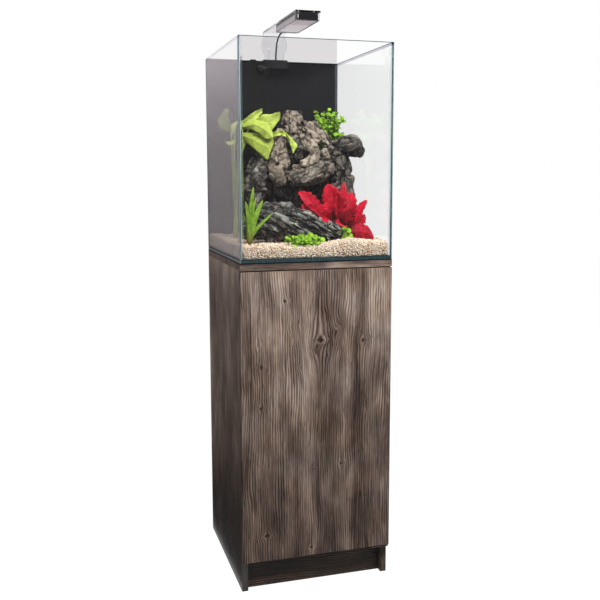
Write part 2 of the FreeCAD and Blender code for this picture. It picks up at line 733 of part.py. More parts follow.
def build_cord(pieces):
    """Lamp cord as a round tube along its route, and the flat two-pin plug on its end."""
    points = [V(*point) for point in cord_route]
    edges, radii = rounded_route(points)
    path = Part.Wire(edges)
    section = Part.Wire(Part.Circle(points[0], points[1] - points[0], cord_radius).toShape())
    tube = path.makePipeShell([section], True, True)
    pieces["lamp_cord"] = tube
    expected = math.pi * cord_radius ** 2 * path.Length
    print("cord length %.1f, volume share %.4f" % (path.Length, tube.Volume / expected))
    print("cord radii", [round(radius, 1) for radius in radii])

    way = (points[-1] - points[-2]).normalize()
    relief = Part.makeCone(cord_radius, plug_relief_radius, plug_relief_length, points[-1], way)
    tip = points[-1] + way * plug_relief_length
    x1 = tip.x + plug_relief_radius
    x0 = x1 - plug_length
    half = plug_width / 2
    body = block(x0, x1, tip.y - half, tip.y + half, 0, plug_height)
    standing = [edge for edge in body.Edges if edge.BoundBox.ZLength > plug_height / 2]
    body = body.makeChamfer(plug_chamfer, standing)
    pin_half = plug_pin_spacing / 2
    pins = [rod(plug_pin_radius, plug_pin_length, V(x0, tip.y + offset, plug_height / 2), LEFT)
            for offset in (-pin_half, pin_half)]
    pieces["lamp_plug"] = body.fuse([relief] + pins).removeSplitter()


def build_filter_case(pieces):
    """Filter housing with intake slots, pump ledges and a hook over the rim, and its lid."""
    clear = (filter_left + filter_wall, filter_right - filter_wall,
             filter_front + filter_wall, filter_back - filter_wall)
    case = block(filter_left, filter_right, filter_front, filter_back, filter_bottom, filter_top)
    case = case.cut(block(*clear, filter_bottom + filter_wall, filter_top))
    slots = []
    for step in range(slot_count):
        z = filter_bottom + slot_margin + step * slot_pitch
        slots.append(block(filter_left + slot_margin, filter_right - slot_margin,
                           filter_front, filter_front + filter_wall, z, z + slot_height))
    stub_hole = rod(stub_radius + nozzle_play, filter_wall, V(stub_x, filter_front, stub_z), BACKWARDS)
    ledge_bottom = pump_bottom - pump_ledge
    ledges = [block(clear[0], clear[0] + pump_ledge, clear[2], clear[3], ledge_bottom, pump_bottom),
              block(clear[1] - pump_ledge, clear[1], clear[2], clear[3], ledge_bottom, pump_bottom)]
    hook_top = rim + hook_thickness
    behind = back + film + hook_play
    outline = [(filter_back, filter_top - hook_root), (filter_back + hook_thickness, filter_top - hook_root),
               (filter_back + hook_thickness, rim), (behind, rim), (behind, rim - hook_drop),
               (behind + hook_thickness, rim - hook_drop), (behind + hook_thickness, hook_top),
               (filter_back, hook_top)]
    hook_left = filter_right - 2 * hook_width
    hook = prism([V(hook_left, y, z) for y, z in outline], RIGHT * hook_width)
    pieces["filter_housing"] = case.cut(slots + [stub_hole]).fuse(ledges + [hook]).removeSplitter()

    lid_top = filter_top + filter_lid
    lid = block(filter_left, filter_right, filter_front, filter_back, filter_top, lid_top)
    outer = (clear[0] + lid_play, clear[1] - lid_play, clear[2] + lid_play, clear[3] - lid_play)
    skirt = block(*outer, filter_top - lid_skirt, filter_top)
    hollow = block(outer[0] + lid_skirt_wall, outer[1] - lid_skirt_wall, outer[2] + lid_skirt_wall,
                   outer[3] - lid_skirt_wall, filter_top - lid_skirt, filter_top)
    ridge_length, ridge_width, ridge_height = lid_ridge
    ridge = block(pump_x - ridge_length / 2, pump_x + ridge_length / 2, pump_y - ridge_width / 2,
                  pump_y + ridge_width / 2, lid_top, lid_top + ridge_height)
    pieces["filter_lid"] = lid.fuse([skirt.cut(hollow), ridge]).removeSplitter()
    sponge = (clear[0] + sponge_play, clear[1] - sponge_play, clear[2] + sponge_play, clear[3] - sponge_play)
    pieces["filter_sponge"] = block(*sponge, filter_bottom + filter_wall, ledge_bottom - sponge_play)
    return clear


def build_pump(pieces, clear):
    """Pump block with its rotor well and outlet stub, the shaft and the impeller."""
    core = block(clear[0] + pump_play, clear[1] - pump_play, clear[2] + pump_play, clear[3] - pump_play,
                 pump_bottom, pump_top)
    well_top = pump_bottom + volute_height + rotor_well_height
    volute = rod(volute_radius, volute_height, V(pump_x, pump_y, pump_bottom), UP)
    well = rod(rotor_well_radius, well_top - pump_bottom, V(pump_x, pump_y, pump_bottom), UP)
    shaft_top = well_top + shaft_root
    shaft_hole = rod(shaft_radius + shaft_play, shaft_top - pump_bottom, V(pump_x, pump_y, pump_bottom), UP)
    riser = rod(stub_radius, stub_z - pump_top, V(stub_x, stub_y, pump_top), UP)
    knee = Part.makeSphere(stub_radius, V(stub_x, stub_y, stub_z))
    stub = rod(stub_radius, stub_y - stub_end, V(stub_x, stub_y, stub_z), FORWARDS)
    duct_z = pump_bottom + volute_height / 2
    duct_start = V(stub_x, stub_y, duct_z)
    ducts = [rod(duct_radius, stub_z - duct_z, duct_start, UP),
             rod(duct_radius, stub_y - stub_end, V(stub_x, stub_y, stub_z), FORWARDS),
             rod(duct_radius, duct_start.distanceToPoint(V(pump_x, pump_y, duct_z)), duct_start,
                 V(pump_x - stub_x, pump_y - stub_y, 0)),
             Part.makeSphere(duct_radius, V(stub_x, stub_y, stub_z))]
    pump = core.fuse([riser, knee, stub]).removeSplitter()
    pieces["pump_body"] = pump.cut([volute, well, shaft_hole] + ducts)
    shaft_bottom = V(pump_x, pump_y, pump_bottom)
    pieces["impeller_shaft"] = rod(shaft_radius, shaft_top - pump_bottom, shaft_bottom, UP)

    blade_bottom = pump_bottom + rotor_end_gap
    rotor_bottom = pump_bottom + volute_height + rotor_end_gap
    rotor_height = rotor_well_height - 2 * rotor_end_gap
    rotor = rod(rotor_radius, rotor_height, V(pump_x, pump_y, rotor_bottom), UP)
    hub = rod(hub_radius, rotor_bottom - blade_bottom, V(pump_x, pump_y, blade_bottom), UP)
    blades = []
    for step in range(blade_count):
        blade = block(pump_x, pump_x + blade_reach, pump_y - blade_thickness / 2, pump_y + blade_thickness / 2,
                      blade_bottom, blade_bottom + blade_height)
        blade.rotate(V(pump_x, pump_y, 0), UP, 360.0 * step / blade_count)
        blades.append(blade)
    bore = rod(shaft_radius + shaft_play, pump_height, V(pump_x, pump_y, pump_bottom), UP)
    pieces["impeller"] = rotor.fuse([hub] + blades).removeSplitter().cut(bore)


def build_nozzle(pieces):
    """Outlet nozzle: a socket that turns on the pump's stub, with a spout bent to one side."""
    root = V(stub_x, stub_end, stub_z)
    socket = rod(nozzle_radius, nozzle_socket, root, BACKWARDS)
    knee = Part.makeSphere(nozzle_radius, root)
    turn = math.radians(spout_turn)
    dip = math.radians(spout_dip)
    way = V(math.sin(turn) * math.cos(dip), -math.cos(turn) * math.cos(dip), -math.sin(dip))
    spout = rod(spout_radius, spout_length, root, way)
    bores = [rod(stub_radius + nozzle_play, nozzle_socket, root, BACKWARDS),
             Part.makeSphere(stub_radius, root).common(block(root.x - stub_radius, root.x + stub_radius,
                                                             root.y - stub_radius, root.y,
                                                             root.z - stub_radius, root.z + stub_radius)),
             rod(duct_radius, spout_length, root, way)]
    far = 2 * spout_length
    forward_half = block(root.x - far, root.x + far, root.y - far, root.y, root.z - far, root.z + far)
    ball_and_spout = knee.fuse(spout).common(forward_half)
    pieces["outlet_nozzle"] = socket.fuse(ball_and_spout).removeSplitter().cut(bores)


def in_plan(across, along):
    """Point of the tank's clear plan, as shares of its width and depth from the front left corner."""
    return tank_left + across * clear_width, tank_front + along * clear_depth


def lump(levels, sides=8):
    """Faceted lump through level outlines: height above the gravel, place in plan and half sizes in shares."""
    outlines = []
    for height, across, along, half_across, half_along in levels:
        x, y = in_plan(across, along)
        ring = []
        for step in range(sides):
            angle = 2 * math.pi * step / sides
            ring.append(V(x + half_across * clear_width * math.cos(angle),
                          y + half_along * clear_depth * math.sin(angle), gravel_top + height))
        outlines.append(Part.makePolygon(ring + ring[:1]))
    return Part.makeLoft(outlines, True, True)


def stem(across, along, height):
    """Round stem standing on the gravel."""
    x, y = in_plan(across, along)
    return rod(stem_radius, height, V(x, y, gravel_top), UP)


def build_layout(pieces):
    """Gravel bed, rock with a cave under its bridge, bark log and the plants."""
    margin = seam_leg + gravel_margin
    pieces["gravel_bed"] = block(tank_left + margin, tank_right - margin,
                                 tank_front + margin, tank_back - margin, glass_bottom, gravel_top)

    left_leg = lump([(0, 0.196, 0.475, 0.066, 0.112), (78, 0.196, 0.475, 0.062, 0.105),
                     (168, 0.196, 0.475, 0.076, 0.120)])
    right_leg = lump([(0, 0.814, 0.486, 0.118, 0.130), (98, 0.814, 0.486, 0.118, 0.124),
                      (158, 0.808, 0.486, 0.098, 0.120), (222, 0.814, 0.486, 0.128, 0.138)])
    rear_wall = lump([(0, 0.513, 0.630, 0.322, 0.081), (98, 0.513, 0.630, 0.315, 0.081),
                      (198, 0.513, 0.630, 0.305, 0.081)])
    bridge = lump([(140, 0.520, 0.510, 0.360, 0.148), (172, 0.520, 0.510, 0.390, 0.176),
                   (208, 0.520, 0.510, 0.385, 0.168), (238, 0.520, 0.510, 0.258, 0.144)])
    peak = lump([(218, 0.500, 0.520, 0.236, 0.138), (262, 0.500, 0.520, 0.206, 0.124),
                 (298, 0.495, 0.520, 0.160, 0.105), (342, 0.485, 0.520, 0.072, 0.058)])
    ledge = lump([(196, 0.886, 0.402, 0.058, 0.062), (218, 0.886, 0.402, 0.092, 0.086),
                  (258, 0.886, 0.402, 0.104, 0.086), (273, 0.886, 0.402, 0.086, 0.066)])
    pieces["rock"] = left_leg.fuse([right_leg, rear_wall, bridge, peak, ledge]).removeSplitter()

    # Bark log: flat-bottomed sections across its length, from its left end to its right end
    log_sections = [(0.088, 25, 0.119, 0.215), (0.204, 96, 0.110, 0.253), (0.345, 100, 0.105, 0.263),
                    (0.500, 62, 0.110, 0.253), (0.655, 37, 0.115, 0.239), (0.768, 12, 0.138, 0.210)]
    outlines = []
    for across, height, along_front, along_back in log_sections:
        x, y0 = in_plan(across, along_front)
        y1 = in_plan(across, along_back)[1]
        third = (y1 - y0) / 3
        section = [(y0, 0), (y0, height / 2), (y0 + third, height),
                   (y1 - third, height), (y1, height / 2), (y1, 0)]
        ring = [V(x, y, gravel_top + z) for y, z in section]
        outlines.append(Part.makePolygon(ring + ring[:1]))
    pieces["bark_log"] = Part.makeLoft(outlines, True, True)

    leaves = lump([(235, 0.150, 0.437, 0.030, 0.028), (262, 0.150, 0.437, 0.128, 0.132),
                   (312, 0.150, 0.437, 0.124, 0.120), (347, 0.150, 0.437, 0.046, 0.043)])
    pieces["broadleaf_plant"] = leaves.fuse(stem(0.088, 0.497, 267)).removeSplitter()
    crown = lump([(255, 0.830, 0.741, 0.036, 0.034), (282, 0.830, 0.741, 0.108, 0.091),
                  (322, 0.830, 0.741, 0.113, 0.096), (349, 0.830, 0.741, 0.052, 0.048)])
    pieces["bush_plant"] = crown.fuse(stem(0.840, 0.760, 282)).removeSplitter()
    red_leaves = lump([(69, 0.693, 0.253, 0.052, 0.034), (97, 0.693, 0.253, 0.201, 0.062),
                       (132, 0.693, 0.253, 0.206, 0.057), (149, 0.693, 0.253, 0.103, 0.034)])
    pieces["red_plant"] = red_leaves.fuse(stem(0.789, 0.291, 105)).removeSplitter()
    pieces["grass_plant"] = lump([(0, 0.067, 0.052, 0.018, 0.017), (47, 0.067, 0.052, 0.031, 0.024),
                                  (107, 0.067, 0.052, 0.057, 0.038), (137, 0.067, 0.052, 0.060, 0.040)])
    front_carpet = lump([(0, 0.418, 0.047, 0.108, 0.033), (15, 0.418, 0.047, 0.100, 0.031),
                         (25, 0.418, 0.047, 0.080, 0.024)])
    side_carpet = lump([(0, 0.825, 0.110, 0.031, 0.029), (23, 0.825, 0.110, 0.026, 0.024)])
    pieces["carpet_plants"] = Part.makeCompound([front_carpet, side_carpet])


pieces = {}
build_cabinet(pieces)
build_tank(pieces)
lamp_screw_holes = build_bracket(pieces)
build_lamp(pieces, lamp_screw_holes)
build_cord(pieces)
build_pump(pieces, build_filter_case(pieces))
build_nozzle(pieces)
build_layout(pieces)

os.makedirs("parts", exist_ok=True)
for node, shape in pieces.items():
    if not shape.isValid():
        print("not valid:", node)
    shape.exportStep("parts/" + node + ".step")
print(len(pieces), "nodes, front %.2f, back %.2f, rim %.1f" % (front, back, rim))
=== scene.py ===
# %% [markdown]
# # An aquarium on its cabinet
# A tall glass tank stands on a wood decor cabinet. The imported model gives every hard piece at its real
# size, so this lesson only adds what makes them look real: finishes, ground glass edges, pebbles, a rock,
# a log and five water plants. Lengths are in metres, +Z is up and the front looks along -Y.

# %% Load the fixed frame
import itertools
import math
import bpy
import numpy as np
from mathutils import Matrix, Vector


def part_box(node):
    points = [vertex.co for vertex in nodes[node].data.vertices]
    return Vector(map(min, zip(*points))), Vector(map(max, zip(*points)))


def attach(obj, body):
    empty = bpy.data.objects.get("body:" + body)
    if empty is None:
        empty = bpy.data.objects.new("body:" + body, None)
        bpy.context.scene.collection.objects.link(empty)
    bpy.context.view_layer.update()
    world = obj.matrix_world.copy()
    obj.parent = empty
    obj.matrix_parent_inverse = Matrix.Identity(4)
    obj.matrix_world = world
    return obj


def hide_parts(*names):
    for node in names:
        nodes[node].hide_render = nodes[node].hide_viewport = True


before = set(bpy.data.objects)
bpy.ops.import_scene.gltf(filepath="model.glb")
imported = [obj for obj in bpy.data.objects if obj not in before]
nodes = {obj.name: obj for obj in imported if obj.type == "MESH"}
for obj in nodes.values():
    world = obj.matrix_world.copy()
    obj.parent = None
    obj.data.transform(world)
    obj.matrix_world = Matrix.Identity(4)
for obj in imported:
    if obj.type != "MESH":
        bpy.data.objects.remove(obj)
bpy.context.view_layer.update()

MM = 0.001

# %% [markdown]
# ## The camera
# The picture was taken from the front left, a little below the rim of the tank, so the inside of the rim
# shows from beneath. The lens is a normal one. Its optical axis sits above the middle of the square
# picture, which a lens shift gives without tipping the upright edges.

# %% Camera
IMAGE_PIXELS = 600
SENSOR_WIDTH = 36.0
camera_place = np.array([-632.8, -2189.3, 1072.8]) * MM
camera_yaw, camera_pitch, camera_roll = np.radians([16.578, -7.245, -0.124])
focal_pixels = 826.06
axis_pixel = (300.0, 280.0)


def camera_axes(yaw, pitch, roll):
    """Right, up and forward. Yaw turns forward from +Y towards +X, pitch lifts it, and roll turns the other
    two about it."""
    forward = np.array([np.sin(yaw) * np.cos(pitch), np.cos(yaw) * np.cos(pitch), np.sin(pitch)])
    right = np.array([np.cos(yaw), -np.sin(yaw), 0.0])
    up = np.cross(right, forward)
    return np.cos(roll) * right + np.sin(roll) * up, np.cos(roll) * up - np.sin(roll) * right, forward


def placed(right, up, back, place):
    """The matrix of an object with these three axes at a place."""
    return Matrix(np.vstack([np.column_stack([right, up, back, place]), [0, 0, 0, 1]]).tolist())


def new_object(name, data):
    """An object in the scene that shows a mesh, a curve, a light or a camera."""
    made = bpy.data.objects.new(name, data)
    bpy.context.scene.collection.objects.link(made)
    return made


right_axis, up_axis, forward_axis = camera_axes(camera_yaw, camera_pitch, camera_roll)
lens = bpy.data.cameras.new("camera")
lens.sensor_width = SENSOR_WIDTH
lens.lens = focal_pixels * SENSOR_WIDTH / IMAGE_PIXELS
lens.shift_x = (IMAGE_PIXELS / 2 - axis_pixel[0]) / IMAGE_PIXELS
lens.shift_y = (axis_pixel[1] - IMAGE_PIXELS / 2) / IMAGE_PIXELS
camera = new_object("camera", lens)
camera.matrix_world = placed(right_axis, up_axis, -forward_axis, camera_place)
bpy.context.scene.camera = camera
bpy.context.scene.view_settings.view_transform = "Standard"
print("camera with a %.1f mm lens" % lens.lens)

# %% [markdown]
# ## Tools for meshes
# Every new piece is a surface worked out as whole numpy arrays: a grid of points, or a shape repeated by
# broadcasting. These helpers join grids with faces and hand the arrays to Blender in one go.


# %% Mesh tools
def unit(vectors):
    """Vectors of length 1: each is divided by the root of the sum of its squares."""
    vectors = np.asarray(vectors, float)
    return vectors / np.linalg.norm(vectors, axis=-1, keepdims=True)


def grid_faces(rows, columns, around=False):
    """Quads between neighbours on a rows by columns grid. With around, the last column joins the first."""
    across = columns if around else columns - 1
    row, column = np.meshgrid(np.arange(rows - 1), np.arange(across), indexing="ij")
    beside = (column + 1) % columns
    corners = np.stack([row * columns + column, row * columns + beside,
                        (row + 1) * columns + beside, (row + 1) * columns + column], -1)
    return corners.reshape(-1, 4)


def new_piece(name, points, face_arrays, finishes, body="frame", smooth=True, layers=(),
              finish_index=None):
    """Puts points and faces into a mesh object that rides on a body. Each layer is one value for each
    point."""
    points = np.asarray(points, np.float32).reshape(-1, 3)
    sizes = np.concatenate([np.full(len(faces), faces.shape[1]) for faces in face_arrays])
    corners = np.concatenate([faces.ravel() for faces in face_arrays]).astype(np.int32)
    mesh = bpy.data.meshes.new(name)
    mesh.vertices.add(len(points))
    mesh.vertices.foreach_set("co", points.ravel())
    mesh.loops.add(len(corners))
    mesh.loops.foreach_set("vertex_index", corners)
    mesh.polygons.add(len(sizes))
    mesh.polygons.foreach_set("loop_start", (np.cumsum(sizes) - sizes).astype(np.int32))
    mesh.polygons.foreach_set("use_smooth", np.full(len(sizes), smooth))
    for finish in finishes:
        mesh.materials.append(finish.material)
    if finish_index is not None:
        mesh.polygons.foreach_set("material_index", np.asarray(finish_index, np.int32))
    for layer, values in dict(layers).items():
        attribute = mesh.attributes.new(layer, "FLOAT", "POINT")
        attribute.data.foreach_set("value", np.asarray(values, np.float32).ravel())
    mesh.update(calc_edges=True)
    mesh.validate()
    piece = new_object(name, mesh)
    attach(piece, body)
    print(name, len(points), "points", len(sizes), "faces")
    return piece


print("mesh tools ready")

# %% [markdown]
# ## Tools for finishes
# A finish is one Principled shader with patterns plugged into it. Nodes are usually wired by hand, but a
# long sum is hard to read as wires. Here a Field stands for one output, and arithmetic on fields adds the
# Math nodes, so a pattern reads like its formula. Patterns read Object coordinates, which are metres here,
# so a scale of 400 gives features of about 2.5 mm.


# %% Finish tools
class Field:
    """One output of a shader node. Sums, differences, products and powers of fields become Math nodes."""

    def __init__(self, shading, socket):
        self.shading, self.socket = shading, socket

    def math(self, operation, *others, clamp=False):
        """A Math node's result, with this field as its first input."""
        inputs = dict(enumerate((self, *others)))
        return self.shading.node("Math", {"operation": operation, "use_clamp": clamp}, inputs)

    def __add__(self, other):
        return self.math("ADD", other)

    def __sub__(self, other):
        return self.math("SUBTRACT", other)

    def __mul__(self, other):
        return self.math("MULTIPLY", other)

    def __pow__(self, other):
        return self.math("POWER", other)

    def __abs__(self):
        return self.math("ABSOLUTE")

    __radd__ = __add__

    def held(self):
        """This field, held between 0 and 1."""
        return self.math("ADD", 0.0, clamp=True)

    def spread(self, low, high, new_low, new_high):
        """Stretches low to high onto new_low to new_high, held at the ends."""
        inputs = {"Value": self, "From Min": low, "From Max": high, "To Min": new_low, "To Max": new_high}
        return self.shading.node("MapRange", inputs=inputs)

    def ramp(self, *stops):
        """A colour, or a grey given as one number, for each stop along this field from 0 to 1."""
        made = self.shading.node("ValToRGB", inputs={0: self})
        elements = made.socket.node.color_ramp.elements
        for index, (at, colour) in enumerate(stops):
            element = elements[index] if index < 2 else elements.new(at)
            element.position = at
            element.color = (*colour, 1.0) if isinstance(colour, tuple) else (colour, colour, colour, 1.0)
        return made


class Shading:
    """The shader nodes of a material or a world."""

    def __init__(self, tree):
        self.tree = tree

    def put(self, value, socket):
        """Links a field to a socket, or sets a plain value on it. Colours are three numbers."""
        if isinstance(value, Field):
            self.tree.links.new(value.socket, socket)
        else:
            socket.default_value = (*value, 1.0) if socket.type == "RGBA" else value

    def node(self, kind, settings=(), inputs=(), output=0):
        """Adds one shader node and gives one of its outputs as a field."""
        made = self.tree.nodes.new("ShaderNode" + kind)
        for key, value in dict(settings).items():
            setattr(made, key, value)
        for key, value in dict(inputs).items():
            self.put(value, made.inputs[key])
        return Field(self, made.outputs[output])


class Finish(Shading):
    """A material with one Principled shader. Each keyword is a socket, with an underscore for each space."""

    def __init__(self, name, **sockets):
        self.material = bpy.data.materials.new(name)
        self.material.use_nodes = True
        super().__init__(self.material.node_tree)
        self.shader = self.tree.nodes["Principled BSDF"]
        self.set(**sockets)

    def set(self, **sockets):
        """Sets or links sockets of the shader."""
        for socket, value in sockets.items():
            self.put(value, self.shader.inputs[socket.replace("_", " ").replace("Ior", "IOR")])

    def place(self, scale=(1, 1, 1), shift=(0, 0, 0)):
        """The point's place on the piece, in metres times scale, plus shift."""
        inputs = {"Vector": self.node("TexCoord", output="Object"), "Scale": scale, "Location": shift}
        return self.node("Mapping", inputs=inputs)

    def along(self, axis):
        """The point's place along one axis, in metres."""
        return self.node("SeparateXYZ", inputs={0: self.place()}, output=axis)

    def cloud(self, scale, detail=2, roughness=0.5, place=None):
        """Soft noise from 0 to 1 with features about 1 / scale long."""
        place = self.place() if place is None else place
        inputs = {"Vector": place, "Scale": scale, "Detail": detail, "Roughness": roughness}
        return self.node("TexNoise", inputs=inputs, output="Fac")

    def layer(self, name):
        """A value that was stored on the points of the mesh."""
        return self.node("Attribute", {"attribute_name": name}, output="Fac")

    def mixed(self, factor, first, second, blend="MIX"):
        """Two colours mixed by a factor."""
        settings = {"data_type": "RGBA", "blend_type": blend}
        return self.node("Mix", settings, {0: factor, 6: first, 7: second}, output=2)

    def relief(self, height, depth):
        """Bump whose full height is depth metres."""
        self.set(Normal=self.node("Bump", inputs={"Height": height, "Distance": depth}))

    def worn(self, pattern, low, high, depth=0.0):
        """Roughness from low to high along a cloud, most of it between 0.3 and 0.7, and its relief."""
        self.set(Roughness=pattern.spread(0.3, 0.7, low, high))
        if depth:
            self.relief(pattern, depth)


def srgb(red, green, blue):
    """The linear colour of display values from 0 to 255."""
    values = np.array([red, green, blue]) / 255.0
    return tuple(np.where(values <= 0.04045, values / 12.92, ((values + 0.055) / 1.055) ** 2.4).tolist())


print("finish tools ready")

# %% [markdown]
# ## The lamp lead
# The lead leaves the back of the lamp through a gland, bends over the rear rim and hangs behind the tank
# and the cabinet down to its plug on the floor. A cord is one smooth line, so its route is a NURBS curve
# through the air with a round bevel, and the plug goes with it.

# %% Lamp lead
LEAD_DIAMETER = 5 * MM
lead_route = np.array([
    (4, 101.15, 1471.5), (4, 123, 1471.5), (5.4, 146, 1470.4), (7.8, 169, 1468.6), (10.6, 191, 1465.4),
    (13.4, 211.5, 1460), (15.8, 229, 1450), (17.2, 241, 1433), (17.9, 247, 1409.5), (18.4, 250, 1374),
    (19.4, 251.6, 1322), (21.2, 252, 1256), (23.4, 251.4, 1186), (25.6, 249.8, 1115), (27.6, 247.4, 1044),
    (29.2, 244.6, 973), (30.2, 241.8, 902), (30.6, 239.2, 831), (30.4, 236.8, 760), (29.6, 234.8, 689),
    (28.2, 233.2, 618), (26.2, 232, 547), (23.6, 231.4, 476), (20.4, 231.4, 405), (16.6, 232, 335),
    (12.2, 233.2, 266), (7.2, 235, 198), (1.6, 237.4, 141), (-5, 240.4, 96), (-13, 243.6, 61),
    (-23.5, 246.4, 35), (-37.5, 248.4, 16), (-56, 249.4, 6), (-78, 249.2, 3.4), (-99.5, 248.2, 6)]) * MM


def rubber_finish(name, colour, grain):
    """Matt black rubber: a fine grain in the gloss and a very low relief."""
    finish = Finish(name, Base_Color=colour, Specular_IOR_Level=0.4)
    finish.worn(finish.cloud(grain, 3), 0.38, 0.58, depth=0.08 * MM)
    return finish


lead_curve = bpy.data.curves.new("lamp_lead", "CURVE")
lead_curve.dimensions = "3D"
lead_line = lead_curve.splines.new("NURBS")
lead_line.points.add(len(lead_route) - 1)
lead_line.points.foreach_set("co", np.column_stack([lead_route, np.ones(len(lead_route))]).ravel())
lead_line.order_u = 3
lead_line.use_endpoint_u = True
lead_line.resolution_u = 6
lead_curve.bevel_depth = LEAD_DIAMETER / 2
lead_curve.bevel_resolution = 3
lead_curve.use_fill_caps = True
lead_curve.materials.append(rubber_finish("lead_rubber", srgb(24, 24, 26), 900).material)
lamp_lead = new_object("lamp_lead", lead_curve)
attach(lamp_lead, "frame")
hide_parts("lamp_cord")
print("lamp lead of", len(lead_route), "points")

# %% [markdown]
# ## The studio
# The picture has a pure white ground. The world and the floor are white only to the camera and to rays that
# come off gloss or through glass, and the light on the object comes from soft lamps at a plain level. Cards
# that only gloss can see stand for the room: dark ones behind the camera, which the panes and the film
# mirror faintly, grey ones at the left rear and on the floor there, which the left pane mirrors at a slant,
# and two white ones that draw highlights on the lamp's round corners. One more, seen only through glass, is
# the grey backdrop above the film.


# %% World and floor
def seen_directly(shading):
    """1 for rays from the camera, off gloss or through glass: the greatest of three Light Path outputs."""
    camera_ray, glossy, through = (shading.node("LightPath", output="Is %s Ray" % kind)
                                   for kind in ("Camera", "Glossy", "Transmission"))
    return camera_ray.math("MAXIMUM", glossy).math("MAXIMUM", through)


WORLD_LIGHT = 0.25
world = bpy.data.worlds.new("studio")
bpy.context.scene.world = world
world.use_nodes = True
sky = Shading(world.node_tree)
background = sky.tree.nodes["Background"]
sky.put((1, 1, 1), background.inputs["Color"])
sky.put(seen_directly(sky).spread(0, 1, WORLD_LIGHT, 1), background.inputs["Strength"])


def stage_plane(name, centre, across, upward, width, height, finish):
    """A rectangle that isn't part of the object, given by its centre and two directions."""
    u, v = np.meshgrid([-0.5, 0.5], [-0.5, 0.5])
    points = (np.array(centre) + u[..., None] * width * np.array(across, float)
              + v[..., None] * height * np.array(upward, float)).reshape(-1, 3)
    mesh = bpy.data.meshes.new(name)
    mesh.from_pydata(points.tolist(), [], [(0, 1, 3, 2)])
    mesh.materials.append(finish.material)
    plane = new_object(name, mesh)
    return plane


FLOOR_GLOW = 0.95
FLOOR_SIZE = 14.0
TO_RIGHT, TO_REAR, TO_TOP = (1, 0, 0), (0, 1, 0), (0, 0, 1)
floor_finish = Finish("pale_floor", Base_Color=(0.2, 0.2, 0.2), Roughness=0.9, Specular_IOR_Level=0.0,
                      Emission_Color=(1, 1, 1))
floor_finish.set(Emission_Strength=seen_directly(floor_finish).spread(0, 1, 0, FLOOR_GLOW))
stage_plane("floor", (0, 0, 0), TO_RIGHT, TO_REAR, FLOOR_SIZE, FLOOR_SIZE, floor_finish)
print("world and floor ready")

# %% Studio cards and lamps
BLACK, BRIGHT = (0.0, 0.0, 0.0), (1.0, 1.0, 1.0)
RIM_GREY, FLOOR_GREY = (0.74, 0.72, 0.73), (0.03, 0.026, 0.026)
SIDE_STRENGTH = 10.0


def studio_card(name, centre, across, upward, width, height, stops, seen="glossy", strength=1.0):
    """A card that glows with a strength and that only one kind of ray sees. Its colour follows the stops
    from its foot, 0, to its top, 1."""
    finish = Finish(name, Base_Color=BLACK, Roughness=1.0, Specular_IOR_Level=0.0, Emission_Strength=strength)
    share = finish.along("Z").spread(centre[2] - height / 2, centre[2] + height / 2, 0, 1)
    finish.set(Emission_Color=share.ramp(*stops))
    card = stage_plane(name, centre, across, upward, width, height, finish)
    for ray in ("camera", "diffuse", "glossy", "transmission", "volume_scatter", "shadow"):
        setattr(card, "visible_" + ray, ray == seen)


def plain(colour):
    """The stops of a card with one colour."""
    return [(0.0, colour), (1.0, colour)]


studio_card("dark_card", (0.22, -3.2, 1.1), TO_RIGHT, TO_TOP, 2.04, 2.6,
            [(0.0, (0.14, 0.14, 0.15)), (1.0, (0.24, 0.24, 0.26))])
studio_card("black_card", (1.92, -3.2, 1.1), TO_RIGHT, TO_TOP, 1.36, 2.6, plain(BLACK))
studio_card("grey_card", (-1.25, 2.2, 0.64), TO_RIGHT, TO_TOP, 2.1, 2.08,
            [(0.0, (0.012, 0.008, 0.008)), (0.63, (0.08, 0.055, 0.062)), (0.77, (0.127, 0.096, 0.108)),
             (0.89, (0.245, 0.205, 0.228)), (0.98, (0.42, 0.36, 0.4))])
studio_card("floor_card", (-1.0, 1.1, 0.004), TO_RIGHT, TO_REAR, 1.58, 2.6, plain(FLOOR_GREY))
studio_card("left_card", (-1.7, -2.9, 2.05), (0.87, -0.5, 0), TO_TOP, 1.3, 0.8, plain(BRIGHT),
            strength=SIDE_STRENGTH)
studio_card("right_card", (2.4, -0.5, 1.9), (0.17, 0.98, 0), TO_TOP, 1.3, 0.8, plain(BRIGHT),
            strength=SIDE_STRENGTH)
studio_card("rim_card", (0.036, 0.3, 1.431), TO_RIGHT, TO_TOP, 0.386, 0.116, plain(RIM_GREY),
            seen="transmission")


def soft_lamp(name, place, aim, size, watts):
    """A square area lamp that looks from place to aim."""
    light = bpy.data.lights.new(name, "AREA")
    light.size = size
    light.energy = watts
    lamp = new_object(name, light)
    back = unit(np.array(place) - np.array(aim))
    side = unit(np.cross(TO_TOP, back))
    lamp.matrix_world = placed(side, np.cross(back, side), back, place)
    lamp.visible_glossy = lamp.visible_transmission = False


soft_lamp("key_lamp", (0.15, -1.15, 2.25), (0, -0.2, 0.9), size=0.8, watts=40)
soft_lamp("top_lamp", (-0.4, -0.5, 2.9), (0, 0, 1.2), size=0.8, watts=14)
soft_lamp("left_lamp", (-2.4, -1.2, 2.0), (0, 0, 0.8), size=1.2, watts=8)
print("studio ready")

# %% [markdown]
# ## The wood decor
# The boards are chipboard with a printed and pressed decor of dark weathered pine: fine light and dark lines
# along the board, broader bands of stain, knots that the lines flow round, and a few long cracks. A picture
# of wood would be quick, but it stretches and repeats. Here the lines are noise that is drawn out along the
# board, and each knot bends the coordinate that the noise reads, so the lines part round it.

